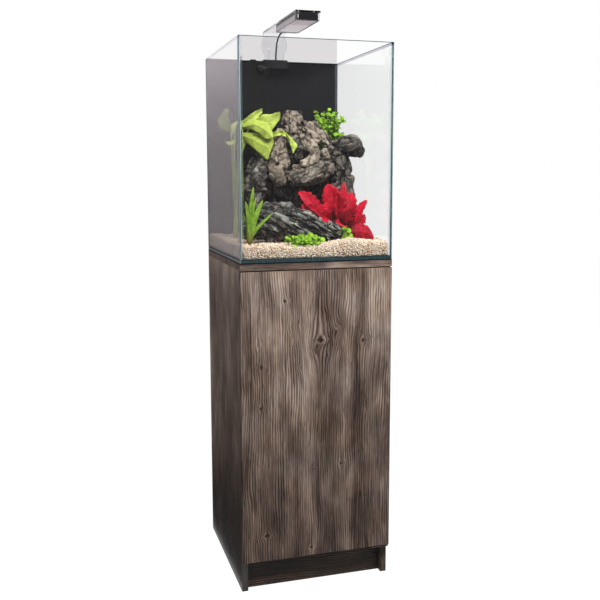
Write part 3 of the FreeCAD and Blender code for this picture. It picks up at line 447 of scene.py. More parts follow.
# %% Wood decor
DECOR_TONES = [(0.0, srgb(26, 20, 18)), (0.25, srgb(62, 50, 44)), (0.5, srgb(108, 92, 83)),
               (0.72, srgb(150, 133, 122)), (1.0, srgb(206, 190, 178))]
AXES = "XYZ"
RING_PITCH = 6.2 * MM
LINE_SWAY = 40 * MM
CRACK_SWAY = 8 * MM


def knot_bends(finish, along, across, knots):
    """Sums over knots. With d across and l along in knot sizes, made uneven by noise, and e the exponential
    of -(d d + l l), the bend is the knot's half width times -0.9 d e, and the mark is e^8 - 0.45 (e^2 - e^8):
    a dark heart in a pale rim."""
    bend, mark = 0.0, 0.0
    for across_at, along_at, half_width, half_length, dark in knots:
        scale, shift = [0.0] * 3, [0.0] * 3
        for axis, at, half in ((across, across_at, half_width), (along, along_at, half_length)):
            scale[AXES.index(axis)] = 1 / (half * MM)
            shift[AXES.index(axis)] = -at / half
        near = finish.place(scale, shift)
        square = finish.node("VectorMath", {"operation": "DOT_PRODUCT"}, {0: near, 1: near}, "Value")
        uneven = finish.cloud(1.1, place=near).spread(0.3, 0.7, -1.6, -0.5)
        fall = (square * uneven).math("EXPONENT")
        offset = finish.node("SeparateXYZ", inputs={0: near}, output=across)
        bend = offset * fall * (-0.9 * half_width * MM) + bend
        mark = fall ** 8.0 * (1.45 * dark) + fall ** 2.0 * (-0.45 * dark) + mark
    return bend, mark


def crack_lines(line, along_place, wander, cracks):
    """The sum of thin dark cracks. Each is at one place across and runs between two places along, in mm."""
    total = 0.0
    for across_at, low, high, half_width in cracks:
        away = abs(line + (wander * CRACK_SWAY - (CRACK_SWAY / 2 + across_at * MM)))
        ends = abs(along_place - (low + high) / 2 * MM)
        shown = ends.spread((high - low) * 0.3 * MM, (high - low) * 0.5 * MM, 1, 0)
        total = away.spread(half_width * 0.5 * MM, half_width * 1.5 * MM, 1, 0) * shown + total
    return total


def tone_along(source, pairs):
    """A tone that follows (place in mm, tone) pairs along a source in metres, held at the ends."""
    low, high = pairs[0][0], pairs[-1][0]
    share = source.spread(low * MM, high * MM, 0, 1)
    return share.ramp(*[((at - low) / (high - low), tone) for at, tone in pairs])


def wood_decor(name, along, across, knots=(), bands=(), cracks=(), drift=0.0, painted_light_heights=(), gloss=0.16):
    """Decor with its lines along one axis. The annual rings are a sine of the bent place across the board,
    strong in some zones and faint in others. drift moves the board across the pattern. bands and
    painted_light_heights are (place in mm, tone) pairs across the moved board and up from the floor, where
    0.5 changes nothing. The bands are stain bands of the decor, but on the left side they are painted light,
    lighter towards the rear. painted_light_heights are painted light and shade by height above the floor.
    The tone is a weighted sum of all patterns."""
    finish = Finish(name, Specular_IOR_Level=gloss)
    depth = (set(AXES) - {along, across}).pop()
    wander = finish.cloud(1.0, place=finish.place([2.2 if axis == along else 5.0 for axis in AXES]))
    bend, mark = knot_bends(finish, along, across, knots)
    straight = finish.along(across) + bend
    line = straight + (wander * LINE_SWAY + (drift - LINE_SWAY / 2))
    bent = finish.node("CombineXYZ", inputs={0: line, 1: finish.along(depth), 2: finish.along(along)})

    def drawn_out(wide, long, detail=2):
        """Noise with wide features a metre across the board and long features a metre along it."""
        stretched = finish.node("Mapping", inputs={"Vector": bent, "Scale": (wide, wide, long)})
        return finish.cloud(1.0, detail, place=stretched)

    stain, blotch, streak, fibre = (drawn_out(*size) for size in ((13, 3.2), (30, 12), (105, 3.5), (700, 30)))
    fine = drawn_out(300, 6).spread(0.36, 0.64, 0, 1)
    swayed = drawn_out(48, 10) * 0.012 + line
    ring = (swayed * (2 * math.pi / RING_PITCH)).math("SINE")
    ring = ring * drawn_out(22, 5, 1).spread(0.36, 0.62, 0.25, 1)
    slit = abs(drawn_out(150, 7, 1) - 0.5).spread(0.0, 0.02, 1, 0) * stain.spread(0.4, 0.62, 1, 0)
    crack = crack_lines(straight, finish.along(along), wander, cracks)
    clouds = ((stain, 0.72), (blotch, 0.62), (streak, 0.3), (fine, 0.16), (fibre, 0.45))
    tone = 0.5 - 0.5 * sum(weight for _, weight in clouds)
    for layer, weight in clouds + ((ring, 0.19), (mark, -0.5), (slit, -0.26), (crack, -0.5)):
        tone = layer * weight + tone
    # painted light and shade: the height pairs, and the bands on the left side, shift the tone
    for source, pairs in ((line, bands), (finish.along("Z"), painted_light_heights)):
        if pairs:
            tone = tone + (tone_along(source, pairs) - 0.5)
    hue = finish.cloud(12).ramp((0.38, (1.0, 0.94, 0.89)), (0.62, (0.96, 0.96, 0.98)))
    finish.set(Base_Color=finish.mixed(1.0, tone.ramp(*DECOR_TONES), hue, "MULTIPLY"),
               Roughness=fine.spread(0.0, 1.0, 0.52, 0.38))
    finish.relief(slit * -0.6 + (ring * 0.4 + (fine + fibre)), 0.3 * MM)
    return finish


print("wood decor ready")

# %% Boards
# knots: place across and along, half width, half length in mm, darkness
DOOR_KNOTS = [(-87, 761, 9, 8, 1.0), (5, 664, 34, 60, 0.3), (12, 656, 12, 11, 0.8), (-4, 640, 10, 14, 0.6),
              (122, 650, 13, 14, 0.9), (63, 326, 8, 10, 1.1), (-138, 152, 17, 9, 0.9), (-19, 106, 10, 8, 1.0),
              (-150, 596, 11, 14, 0.6), (-158, 652, 8, 18, 0.5), (-152, 490, 10, 10, 0.7),
              (-10, 318, 6, 8, 0.5)]
DOOR_BANDS = [(-200, 0.47), (-182, 0.4), (-168, 0.53), (-120, 0.56), (-60, 0.5), (-40, 0.64), (-16, 0.64),
              (0, 0.42), (50, 0.38), (66, 0.5), (78, 0.6), (94, 0.6), (106, 0.44), (150, 0.54), (200, 0.5)]
# cracks: place across, low and high end, half width in mm
DOOR_CRACKS = [(-176, 470, 790, 1.0), (120, 760, 836, 0.9), (-88, 500, 620, 0.9), (-66, 540, 600, 0.8),
               (100, 330, 430, 0.8)]
# painted light and shade by height in mm above the floor: lighter towards the top, darker towards the floor
DOOR_PAINTED_LIGHT = [(84, 0.38), (160, 0.4), (450, 0.54), (750, 0.605), (836, 0.625)]
SIDE_PAINTED_LIGHT = [(0, 0.0), (165, 0.06), (230, 0.22), (300, 0.4), (470, 0.56), (570, 0.6), (700, 0.53),
                (780, 0.57), (839, 0.8)]
# painted light on the left side, across it in mm: lighter towards the rear
SIDE_PAINTED_LIGHT_BANDS = [(86, 0.42), (310, 0.51), (534, 0.62)]
REAR_PAINTED_LIGHT = [(0, 0.34), (400, 0.48), (839, 0.58)]
# painted light: the top board a little lighter all over
TOP_PAINTED_LIGHT = [(839, 0.52), (855, 0.52)]
# painted shade on the plinth, by height in mm: dark all over and darkest at its top, under the door
PLINTH_PAINTED_SHADE = [(0, 0.16), (50, 0.1), (81, 0.04)]
SIDE_GLOSS = 0.5
boards = {
    "door_panel": wood_decor("door_decor", "Z", "X", DOOR_KNOTS, DOOR_BANDS, DOOR_CRACKS,
                             painted_light_heights=DOOR_PAINTED_LIGHT),
    "left_side_panel": wood_decor("left_side_decor", "Z", "Y", [(60, 420, 12, 18, 0.8)], SIDE_PAINTED_LIGHT_BANDS,
                                  drift=0.31, painted_light_heights=SIDE_PAINTED_LIGHT, gloss=SIDE_GLOSS),
    "right_side_panel": wood_decor("right_side_decor", "Z", "Y", [(-40, 560, 14, 20, 0.8)], drift=0.73,
                                   painted_light_heights=REAR_PAINTED_LIGHT),
    "back_panel": wood_decor("back_decor", "Z", "X", [(70, 300, 12, 16, 0.8)], drift=1.17,
                             painted_light_heights=REAR_PAINTED_LIGHT),
    "top_board": wood_decor("top_decor", "X", "Y", drift=0.52, painted_light_heights=TOP_PAINTED_LIGHT, gloss=SIDE_GLOSS),
    "bottom_board": wood_decor("bottom_decor", "X", "Y", drift=0.91),
    "shelf": wood_decor("shelf_decor", "X", "Y", drift=1.43),
    "plinth_board": wood_decor("plinth_decor", "X", "Z", drift=0.17, painted_light_heights=PLINTH_PAINTED_SHADE)}
BOARD_EDGE = 0.7 * MM
JOIN_REACH = 0.02 * MM


def dress(finish, *names):
    """Gives CAD nodes a finish."""
    for name in names:
        nodes[name].data.materials.clear()
        nodes[name].data.materials.append(finish.material)


def soften(name, width, segments=2):
    """Rounds a CAD node's sharp edges: loose triangles are joined, then edges over 30 degrees bevelled."""
    join = nodes[name].modifiers.new("join", "WELD")
    join.merge_threshold = JOIN_REACH
    bevel = nodes[name].modifiers.new("round", "BEVEL")
    bevel.width = width
    bevel.segments = segments
    bevel.limit_method = "ANGLE"
    bevel.harden_normals = False


for board_name, board_finish in boards.items():
    dress(board_finish, board_name)
    soften(board_name, BOARD_EDGE)
print("decor on", len(boards), "boards")

# %% [markdown]
# ## Fittings
# Screws and cam fittings are zinc plated steel, the hinges blackened steel, the latch moulded plastic with a
# magnet, and the tank stands on a black foam mat. None is a plain colour: plated steel has cloudy gloss,
# moulded plastic a fine spark-eroded grain, foam its cells.


# %% Fittings
def metal_finish(name, colour, roughness, scale, stretch=(1, 1, 1)):
    """Metal whose gloss wanders between two roughnesses. stretch draws the marks out as brushing."""
    finish = Finish(name, Base_Color=colour, Metallic=1.0)
    marks = finish.cloud(scale, 4, 0.65, finish.place(stretch))
    finish.set(Roughness=marks.spread(0.25, 0.75, *roughness))
    finish.relief(marks, 0.03 * MM)
    return finish


def plastic_finish(name, dark, light, roughness, grain, depth=0.04 * MM, gloss=0.5):
    """Moulded plastic: a fine grain in relief and gloss, over a slow change of colour."""
    finish = Finish(name, Specular_IOR_Level=gloss)
    finish.set(Base_Color=finish.cloud(35).ramp((0.3, dark), (0.7, light)))
    finish.worn(finish.cloud(grain, 3, 0.6), *roughness, depth=depth)
    return finish


def beech_finish(name):
    """Pale beech with short brown flecks along X."""
    finish = Finish(name, Roughness=0.6)
    fleck = finish.cloud(1.0, 3, place=finish.place((60, 700, 700)))
    finish.set(Base_Color=fleck.ramp((0.3, srgb(166, 122, 84)), (0.7, srgb(214, 178, 138))))
    return finish


def foam_finish(name, colour, cell, depth):
    """Open foam: round cells of cell metres, with painted shade inside each cell."""
    finish = Finish(name, Roughness=0.95, Specular_IOR_Level=0.2)
    cells = finish.node("TexVoronoi", inputs={"Vector": finish.place(), "Scale": 1 / cell}, output="Distance")
    # painted shade: each cell darkens towards its middle
    dark = tuple(0.3 * value for value in colour)
    finish.set(Base_Color=cells.ramp((0.1, dark), (0.6, colour)))
    finish.relief(cells, depth)
    return finish


dress(metal_finish("zinc_plate", (0.62, 0.63, 0.66), (0.22, 0.45), 500),
      "cam_fittings", "cabinet_screws", "door_screws", "bracket_screws", "shelf_pins")
dress(metal_finish("hinge_steel", (0.06, 0.055, 0.052), (0.35, 0.5), 300, stretch=(1, 6, 1)),
      "hinge_plate_top", "hinge_plate_bottom", "hinge_pins", "door_hinge_leaves", "strike_plate")
dress(plastic_finish("latch_grey", srgb(128, 128, 130), srgb(150, 150, 152), (0.4, 0.6), 1800),
      "latch_body", "latch_plunger")
dress(plastic_finish("magnet_black", srgb(38, 38, 42), srgb(58, 58, 62), (0.5, 0.75), 1500), "latch_magnet")
dress(foam_finish("bumper_felt", srgb(92, 84, 78), cell=0.5 * MM, depth=0.2 * MM), "door_bumpers")
dress(foam_finish("mat_foam", srgb(30, 30, 32), cell=0.8 * MM, depth=0.2 * MM), "levelling_mat")
dress(beech_finish("beech"), "wood_dowels")
print("fittings dressed")

# %% [markdown]
# ## The glass
# The panes are clear float glass with ground edges. Through a pane the world looks clean, but an edge is seen
# along the glass, where it is a dark green blue, so each pane is a chamfered box, clear on its two faces and
# with other finishes on its edges. Light from lamps has to reach the rock, and real glass bends it into
# caustics that take very long to find. The usual way round is a Light Path mix: shadow and diffuse rays pass
# straight through.


# %% Glass tools
def let_light_through(finish, tint):
    """Mixes the shader with a clear one for shadow rays, then for diffuse rays."""
    path = finish.node("LightPath").socket.node
    clear = finish.node("BsdfTransparent", inputs={"Color": tint})
    surface = Field(finish, finish.shader.outputs[0])
    for ray in ("Is Shadow Ray", "Is Diffuse Ray"):
        surface = finish.node("MixShader", inputs={0: Field(finish, path.outputs[ray]), 1: surface, 2: clear})
    finish.put(surface, finish.tree.nodes["Material Output"].inputs["Surface"])


def face_out(points, faces, middle):
    """Turns round each face of a convex shape whose normal points to the middle."""
    normal = np.cross(points[faces[:, 1]] - points[faces[:, 0]], points[faces[:, 2]] - points[faces[:, 1]])
    inward = np.einsum("ij,ij->i", normal, points[faces].mean(1) - middle) < 0
    faces[inward] = faces[inward][:, ::-1]
    return faces


def chamfered_box(low, high, chamfer):
    """A box whose 8 corners are each 3 points, one on each of the faces that meet there, so that 6 faces,
    12 chamfers and 8 corner triangles close it. Returns points, quads, triangles and each quad's kind: the
    axis that a face looks along, or 3 plus the axis that a chamfer runs along."""
    signs = np.array(list(itertools.product((-1, 1), repeat=3)))
    middle, half = (low + high) / 2, (high - low) / 2
    inset = half - chamfer * (1 - np.eye(3))
    points = (middle + signs[:, None, :] * inset[None, :, :]).reshape(-1, 3)
    quads, kinds = [], []
    for axis, sign in itertools.product(range(3), (-1, 1)):
        ring = [index for index in range(8) if signs[index][axis] == sign]
        quads.append([ring[order] * 3 + axis for order in (0, 1, 3, 2)])
        kinds.append(axis)
    for (first, second), one, two in itertools.product(((0, 1), (1, 2), (0, 2)), (-1, 1), (-1, 1)):
        start, end = (3 * index for index in range(8)
                      if signs[index][first] == one and signs[index][second] == two)
        quads.append([start + first, end + first, end + second, start + second])
        kinds.append(6 - first - second)
    quads = face_out(points, np.array(quads), middle)
    triangles = face_out(points, np.arange(24).reshape(8, 3), middle)
    return points, quads, triangles, np.array(kinds)


GLASS_TINT = (0.992, 0.997, 0.996)
SHADOW_TINT = (0.95, 0.965, 0.96)


def pane_finish(name, bending, mirror, painted_reflection):
    """Clear glass. Its top 8 mm are tinted with a painted reflection: the ground edge as it is mirrored
    inside the pane.
    """
    finish = Finish(name, Roughness=0.0, Transmission_Weight=1.0, Ior=bending, Coat_Weight=mirror,
                    Coat_Roughness=0.0)
    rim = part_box("front_glass")[1][2]
    share = finish.along("Z").spread(rim - 9 * MM, rim - 7 * MM, 0, 1)
    finish.set(Base_Color=share.ramp((0.0, GLASS_TINT), (1.0, painted_reflection)))
    let_light_through(finish, SHADOW_TINT)
    return finish


def edge_finish(name, dark, light):
    """Ground edge: fine grinding lines along it."""
    finish = Finish(name, Specular_IOR_Level=0.5)
    lines = finish.cloud(900, place=finish.place((1, 1, 0.15)))
    finish.set(Base_Color=lines.ramp((0.3, dark), (0.7, light)))
    finish.worn(lines, 0.15, 0.3)
    return finish


def butt_finish(name, near, far):
    """The glued front end of a side pane: pale along its inside and dark outside, from near to far metres
    out from the middle of the tank."""
    finish = Finish(name, Roughness=0.2)
    share = abs(finish.along("X")).spread(near, far, 0, 1)
    finish.set(Base_Color=share.ramp((0.0, srgb(190, 206, 208)), (0.3, srgb(158, 180, 184)),
                                     (0.42, srgb(44, 64, 72)), (1.0, srgb(32, 50, 58))))
    return finish


print("glass tools ready")

# %% Glass panes
# painted reflection: the mauve tint along the top of the side panes, where the ground edge is mirrored
RIM_PAINTED_REFLECTION = (0.6, 0.57, 0.66)
ARRIS = 1.2 * MM
PANE_AXIS = {"base_glass": 2, "front_glass": 1, "rear_glass": 1, "left_glass": 0, "right_glass": 0}
UPRIGHT_CHAMFER = 5
CLEAR, EDGE, BUTT, PALE = range(4)
glass_left = pane_finish("glass_left", bending=1.6, mirror=1.0, painted_reflection=RIM_PAINTED_REFLECTION)
glass_right = pane_finish("glass_right", bending=1.24, mirror=0.0, painted_reflection=RIM_PAINTED_REFLECTION)
glass_front = pane_finish("glass_front", bending=1.24, mirror=0.0, painted_reflection=GLASS_TINT)
glass_edge = edge_finish("glass_edge", srgb(34, 52, 56), srgb(54, 74, 78))
glass_arris = edge_finish("glass_arris", srgb(150, 168, 172), srgb(184, 198, 200))
glass_butt = butt_finish("glass_butt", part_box("right_glass")[0][0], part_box("right_glass")[1][0])
for pane, thin_axis in PANE_AXIS.items():
    pane_low, pane_high = (np.array(corner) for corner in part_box(pane))
    pane_points, pane_quads, pane_corners, pane_kinds = chamfered_box(pane_low, pane_high, ARRIS)
    pane_index = np.where(pane_kinds == thin_axis, CLEAR, np.where(pane_kinds == UPRIGHT_CHAMFER, PALE, EDGE))
    if thin_axis == 0:
        pane_index[[2, 3]] = BUTT, CLEAR
    if thin_axis == 2:
        pane_index[[0, 1]] = PALE
    pane_index = np.concatenate([pane_index, np.full(len(pane_corners), EDGE)])
    pane_clear = {"left_glass": glass_left, "right_glass": glass_right}.get(pane, glass_front)
    pane_piece = new_piece(pane.replace("glass", "pane"), pane_points, [pane_quads, pane_corners],
                           [pane_clear, glass_edge, glass_butt, glass_arris], smooth=False,
                           finish_index=pane_index)
    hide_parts(pane)

# %% [markdown]
# ## Seams, film and the clear bracket
# Silicone beads run down the inner corners, a glossy black film covers the back of the tank, and the lamp
# hangs from a bracket that is bent from clear acrylic.

# %% Seams, film and bracket
silicone = Finish("silicone_clear", Base_Color=srgb(168, 184, 188), Alpha=0.07, Specular_IOR_Level=0.3)
silicone.worn(silicone.cloud(60), 0.25, 0.4)
dress(silicone, "silicone_seams")
film = Finish("film_black", Base_Color=srgb(17, 17, 21), Specular_IOR_Level=0.25)
film.worn(film.cloud(30), 0.1, 0.2)
dress(film, "back_film")
acrylic = Finish("acrylic_clear", Base_Color=(0.86, 0.86, 0.88), Roughness=0.02, Transmission_Weight=1.0,
                 Ior=1.36)
let_light_through(acrylic, (0.93, 0.93, 0.95))
dress(acrylic, "lamp_bracket")
soften("lamp_bracket", 0.6 * MM)
print("seams, film and bracket dressed")

# %% [markdown]
# ## The lamp, its clamp and the filter
# The lamp is an aluminium extrusion with a black strip along its top, glossy black end caps and two frosted
# strips beneath. The clamp on the rim is black. The filter hangs on the rear pane, and its case is black.


# %% Lamp, clamp and filter
def frosted_finish(name, colour):
    """Frosted acrylic with fine ribs across the lamp, and a faint glow of painted light that grows from front
    to rear.
    """
    finish = Finish(name, Base_Color=colour, Roughness=0.5, Emission_Strength=0.5)
    front, rear = (corner[1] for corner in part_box("lamp_diffusers"))
    share = finish.along("Y").spread(front, rear, 0, 1)
    # painted light: the strips glow, dimmer at the front and brighter towards the rear
    finish.set(Emission_Color=share.ramp((0.0, (0.55, 0.47, 0.51)), (0.36, (0.66, 0.58, 0.62)),
                                         (0.4, (0.84, 0.77, 0.81)), (1.0, (0.98, 0.92, 0.95))))
    ribs = finish.node("TexWave", {"bands_direction": "Y"}, {"Vector": finish.place(), "Scale": 130.0}, "Fac")
    finish.relief(ribs, 0.2 * MM)
    return finish


def phosphor_finish(name):
    """Yellow phosphor in a white package."""
    finish = Finish(name, Roughness=0.35)
    dots = finish.cloud(700)
    finish.set(Base_Color=dots.ramp((0.35, srgb(226, 190, 70)), (0.65, srgb(240, 224, 150))))
    return finish


LAMP_GREY = srgb(158, 148, 154)
lamp_metal = metal_finish("lamp_aluminium", LAMP_GREY, (0.28, 0.42), 220, stretch=(1, 0.03, 1))
lamp_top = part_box("lamp_housing")[1][2]
lamp_share = lamp_metal.along("Z").spread(lamp_top - 6.2 * MM, lamp_top - 5.4 * MM, 0, 1)
lamp_metal.set(Base_Color=lamp_share.ramp((0.0, LAMP_GREY), (1.0, srgb(22, 21, 23))))
dress(lamp_metal, "lamp_housing")
soften("lamp_housing", 0.5 * MM)
dress(plastic_finish("cap_black", srgb(8, 8, 9), srgb(14, 14, 15), (0.05, 0.1), 300, depth=0.01 * MM,
                     gloss=1.0), "lamp_end_caps", "lamp_button")
soften("lamp_end_caps", 1.0 * MM, 3)
dress(plastic_finish("clamp_black", srgb(13, 13, 15), srgb(22, 22, 24), (0.3, 0.45), 800, gloss=0.3),
      "rim_clamp", "thumbscrew_left", "thumbscrew_right")
dress(frosted_finish("diffuser_frost", srgb(206, 192, 200)), "lamp_diffusers")
dress(plastic_finish("led_white", srgb(222, 222, 218), srgb(236, 236, 232), (0.4, 0.6), 1200), "led_board")
dress(phosphor_finish("led_phosphor"), "led_chips")
dress(rubber_finish("gland_rubber", srgb(20, 20, 22), 1200), "cord_gland", "lamp_plug")
dress(plastic_finish("filter_black", srgb(9, 9, 10), srgb(15, 15, 17), (0.3, 0.5), 900, gloss=0.15),
      "filter_housing", "filter_lid", "pump_body", "outlet_nozzle")
dress(foam_finish("sponge_black", srgb(26, 26, 28), cell=1.4 * MM, depth=0.8 * MM), "filter_sponge")
dress(plastic_finish("impeller_blue", srgb(70, 92, 132), srgb(90, 112, 150), (0.3, 0.45), 900), "impeller")
dress(plastic_finish("shaft_ceramic", srgb(226, 224, 218), srgb(240, 238, 232), (0.15, 0.3), 1500),
      "impeller_shaft")
print("lamp, clamp and filter dressed")

# %% [markdown]
# ## Noise for shapes
# Pebbles, rock and bark are rough at every scale. A Displace modifier could roughen them, but noise that is
# worked out here as arrays can also be kept as a value on each point, and the finish can then paint shade
# into the same grooves that the shape has.


# %% Noise for shapes
def lattice_random(cells, seed):
    """Numbers from -1 to 1 for whole lattice places: each coordinate is mixed in with a large odd factor."""
    mix = np.full(cells.shape[:-1], seed * 7919 + 1013, np.uint32)
    for axis, factor in enumerate((73856093, 19349663, 83492791)):
        mix = (mix ^ (cells[..., axis].astype(np.uint32) * np.uint32(factor))) * np.uint32(2654435761)
        mix ^= mix >> np.uint32(15)
    return mix / 2.0 ** 31 - 1.0


def lattice_vectors(cells, seed):
    """Three such numbers for each place, from three seeds in a row."""
    return np.stack([lattice_random(cells, seed + axis) for axis in range(3)], -1)


def noise(points, seed=0):
    """Gradient noise, about -1 to 1. Each lattice corner has a random slope. A point adds, over its 8
    corners, slope times offset, weighted along each axis by 6 t^5 - 15 t^4 + 10 t^3."""
    cell = np.floor(points).astype(np.int64)
    share = points - cell
    weight = share ** 3 * (share * (share * 6 - 15) + 10)
    total = np.zeros(points.shape[:-1])
    for corner in itertools.product((0, 1), repeat=3):
        slope = lattice_vectors(cell + corner, seed * 3)
        part = np.prod(np.where(np.array(corner) == 1, weight, 1 - weight), axis=-1)
        total += part * np.einsum("...i,...i->...", slope, share - corner)
    return total * 1.4


def layered(points, layers, seed, gain=0.5, shaped=np.asarray):
    """Noise plus finer noise: each layer is shaped, twice as fine and gain times as strong."""
    return sum(gain ** level * shaped(noise(points * 2.0 ** level, seed + level)) for level in range(layers))


def ridged(points, layers, seed, gain=0.5):
    """Crests at 1 with valleys towards 0: the mean over the layers of 1 - 2 |noise|."""
    total = layered(points, layers, seed, gain, lambda value: 1 - 2 * np.abs(value))
    return total / sum(gain ** level for level in range(layers))


def pillowed(points, layers, seed, gain=0.45):
    """Broad pillows near 1 parted by thin valleys at 0: the mean over the layers of the root of 2 |noise|,
    held at 1."""
    total = layered(points, layers, seed, gain, lambda value: np.sqrt(np.minimum(2 * np.abs(value), 1)))
    return total / sum(gain ** level for level in range(layers))


def chipped(points, seed):
    """Broken stone: each cell round a jittered lattice place is a plane with its own height and tilt. Returns
    the nearest cell's plane at each point, about -1 to 1, and the nearness of the next cell, 1 on the
    border."""
    cell = np.floor(points).astype(np.int64)
    first, second = np.full((2, len(points)), np.inf)
    owner, offset = np.zeros_like(cell), np.zeros_like(points)
    for step in itertools.product((-1, 0, 1), repeat=3):
        corner = cell + step
        away = points - corner - 0.5 - 0.45 * lattice_vectors(corner, seed * 7)
        far = np.linalg.norm(away, axis=-1)
        nearer = far < first
        second = np.where(nearer, first, np.minimum(second, far))
        first = np.where(nearer, far, first)
        owner = np.where(nearer[:, None], corner, owner)
        offset = np.where(nearer[:, None], away, offset)
    tilt = lattice_vectors(owner, seed * 7 + 3)
    plane = 0.5 * lattice_random(owner, seed * 7 + 6) + np.einsum("ij,ij->i", tilt, offset)
    return plane, np.exp(-((second - first) / 0.08) ** 2)


print("noise ready")

# %% [markdown]
# ## The gravel
# The bed is beige quartz gravel of 3 to 8 mm. A flat block with a bump map looks like plaster where it meets
# the glass, so the bed is a block with about ten thousand pebbles set into its top and sides. A pebble is a
# distorted icosahedron of 20 faces, and all are made at once by broadcasting. Each carries its own tone.

# %% Gravel tools
# places and sizes of the bed in mm
bed_left, bed_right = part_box("left_glass")[1][0] / MM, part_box("right_glass")[0][0] / MM
bed_front, bed_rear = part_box("front_glass")[1][1] / MM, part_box("rear_glass")[0][1] / MM
bed_floor, bed_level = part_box("base_glass")[1][2] / MM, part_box("gravel_bed")[1][2] / MM
# heaps: x, y, reach, rise
HEAPS = [(-25, -208, 60, -5), (92, -198, 38, 11), (190, -120, 60, 6), (-150, 60, 70, 5)]
GLASS_GAP = 0.3
SEAM_LEG = 5.5


def bed_height(x, y):
    """Gravel level in mm: slow noise plus heaps, each rise * exp(-(distance / reach) ** 2)."""
    place = np.stack([x, y, np.zeros_like(x)], -1)
    level = bed_level - 4 + 2.5 * layered(place / 42, 2, 5)
    for heap_x, heap_y, reach, rise in HEAPS:
        level = level + rise * np.exp(-((x - heap_x) ** 2 + (y - heap_y) ** 2) / reach ** 2)
    return level


def gravel_finish(name):
    """Quartz tones picked by the pebble's own tone, with a fine speckle and worn gloss."""
    finish = Finish(name, Specular_IOR_Level=0.4)
    speck = finish.cloud(1400)
    shade = (speck - 0.5) * 0.35 + finish.layer("tone")
    finish.set(Base_Color=shade.ramp(
        (0.0, srgb(156, 122, 96)), (0.14, srgb(196, 162, 132)), (0.35, srgb(222, 198, 170)),
        (0.6, srgb(236, 216, 192)), (0.78, srgb(232, 204, 192)), (0.9, srgb(208, 200, 194)),
        (1.0, srgb(238, 228, 212))))
    finish.worn(speck, 0.45, 0.75, depth=0.2 * MM)
    return finish


def icosahedron():
    """12 points from the golden ratio. A face is any three points that are all one edge, 2, apart."""
    golden = (1 + 5 ** 0.5) / 2
    points = np.array([np.roll((0, one, two * golden), turn) for turn in range(3)
                       for one, two in itertools.product((-1, 1), repeat=2)])
    apart = np.linalg.norm(points[:, None] - points[None], axis=-1) < 2.01
    faces = np.array([trio for trio in itertools.combinations(range(12), 3)
                      if all(apart[i, j] for i, j in itertools.combinations(trio, 2))])
    points = points / np.linalg.norm(points[0])
    return points, face_out(points, faces, np.zeros(3))


def random_turns(count, draws):
    """Rotation matrices from random unit quaternions (w, x, y, z)."""
    w, x, y, z = unit(draws.normal(size=(count, 4))).T
    rows = [1 - 2 * (y * y + z * z), 2 * (x * y - z * w), 2 * (x * z + y * w),
            2 * (x * y + z * w), 1 - 2 * (x * x + z * z), 2 * (y * z - x * w),
            2 * (x * z - y * w), 2 * (y * z + x * w), 1 - 2 * (x * x + y * y)]
    return np.stack(rows, -1).reshape(-1, 3, 3)


def pebbles(name, centres, radius, finish, draws):
    """Icosahedra at the centres, in mm. Each corner moves out or in by up to 0.18 of the radius, the three
    axes are stretched by 0.7 to 1.3, and the shape is turned at random. Corners that would cross the
    glass are held back by it."""
    corners, faces = icosahedron()
    count, each = len(centres), len(corners)
    stretch = draws.uniform(0.7, 1.3, (count, 1, 3)) * radius[:, None, None]
    shape = corners[None] * draws.uniform(0.82, 1.18, (count, each, 1)) * stretch
    points = centres[:, None, :] + np.einsum("nij,nkj->nki", random_turns(count, draws), shape)
    low = np.array([bed_left, bed_front, bed_floor]) + GLASS_GAP
    high = np.array([bed_right, bed_rear, np.inf]) - GLASS_GAP
    points = np.clip(points, low, high)
    tone = np.repeat(draws.beta(1.6, 1.4, count) + 0.3 * layered(centres / 13, 2, 8), each)
    all_faces = (faces[None] + each * np.arange(count)[:, None, None]).reshape(-1, 3)
    return new_piece(name, points * MM, [all_faces], [finish], layers={"tone": tone})


def scattered(low, high, step, draws):
    """Places on a grid of the step between two corners, each moved at random by up to half a step."""
    grids = np.meshgrid(*[np.arange(a + step / 2, b, step) for a, b in zip(low, high)], indexing="ij")
    places = np.stack(grids, -1).reshape(-1, len(low))
    return places + draws.uniform(-0.5, 0.5, places.shape) * step


print("gravel bed from", round(bed_floor), "to", round(bed_level), "mm")

# %% Gravel
BED_GRID = 110
CORE_GAP, CORE_DROP, FOOT_GAP = 1, 0.5, 0.2
FRONT_REAR_SPLIT = -20
EDGE_ROOM, CORNER_ROOM, HEAP_ROOM, WALL_INSET = 2, 5, 16, 1.6
bed_draws = np.random.default_rng(11)
gravel_quartz = gravel_finish("gravel_quartz")
bed_x, bed_y = np.meshgrid(np.linspace(bed_left + CORE_GAP, bed_right - CORE_GAP, BED_GRID),
                           np.linspace(bed_front + CORE_GAP, bed_rear - CORE_GAP, BED_GRID), indexing="xy")
bed_top = np.stack([bed_x, bed_y, bed_height(bed_x, bed_y) - CORE_DROP], -1).reshape(-1, 3)
numbers = np.arange(BED_GRID ** 2).reshape(BED_GRID, BED_GRID)
rim = np.concatenate([numbers[0], numbers[1:, -1], numbers[-1, -2::-1], numbers[-2:0:-1, 0]])
bed_foot = np.column_stack([np.clip(bed_top[rim, :2], [bed_left + SEAM_LEG, bed_front + SEAM_LEG],
                                    [bed_right - SEAM_LEG, bed_rear - SEAM_LEG]),
                            np.full(len(rim), bed_floor + FOOT_GAP)])
bed_points = np.concatenate([bed_top, bed_foot])
foot = len(bed_top) + np.arange(len(rim))
bed_sides = np.stack([foot, np.roll(foot, -1), np.roll(rim, -1), rim], -1)
bed_tone = 0.45 + 0.5 * noise(bed_points / 3.0, 3)
bed_faces = [grid_faces(BED_GRID, BED_GRID), bed_sides, foot[None, ::-1]]
gravel_core = new_piece("gravel_core", bed_points * MM, bed_faces, [gravel_quartz],
                        layers={"tone": bed_tone})
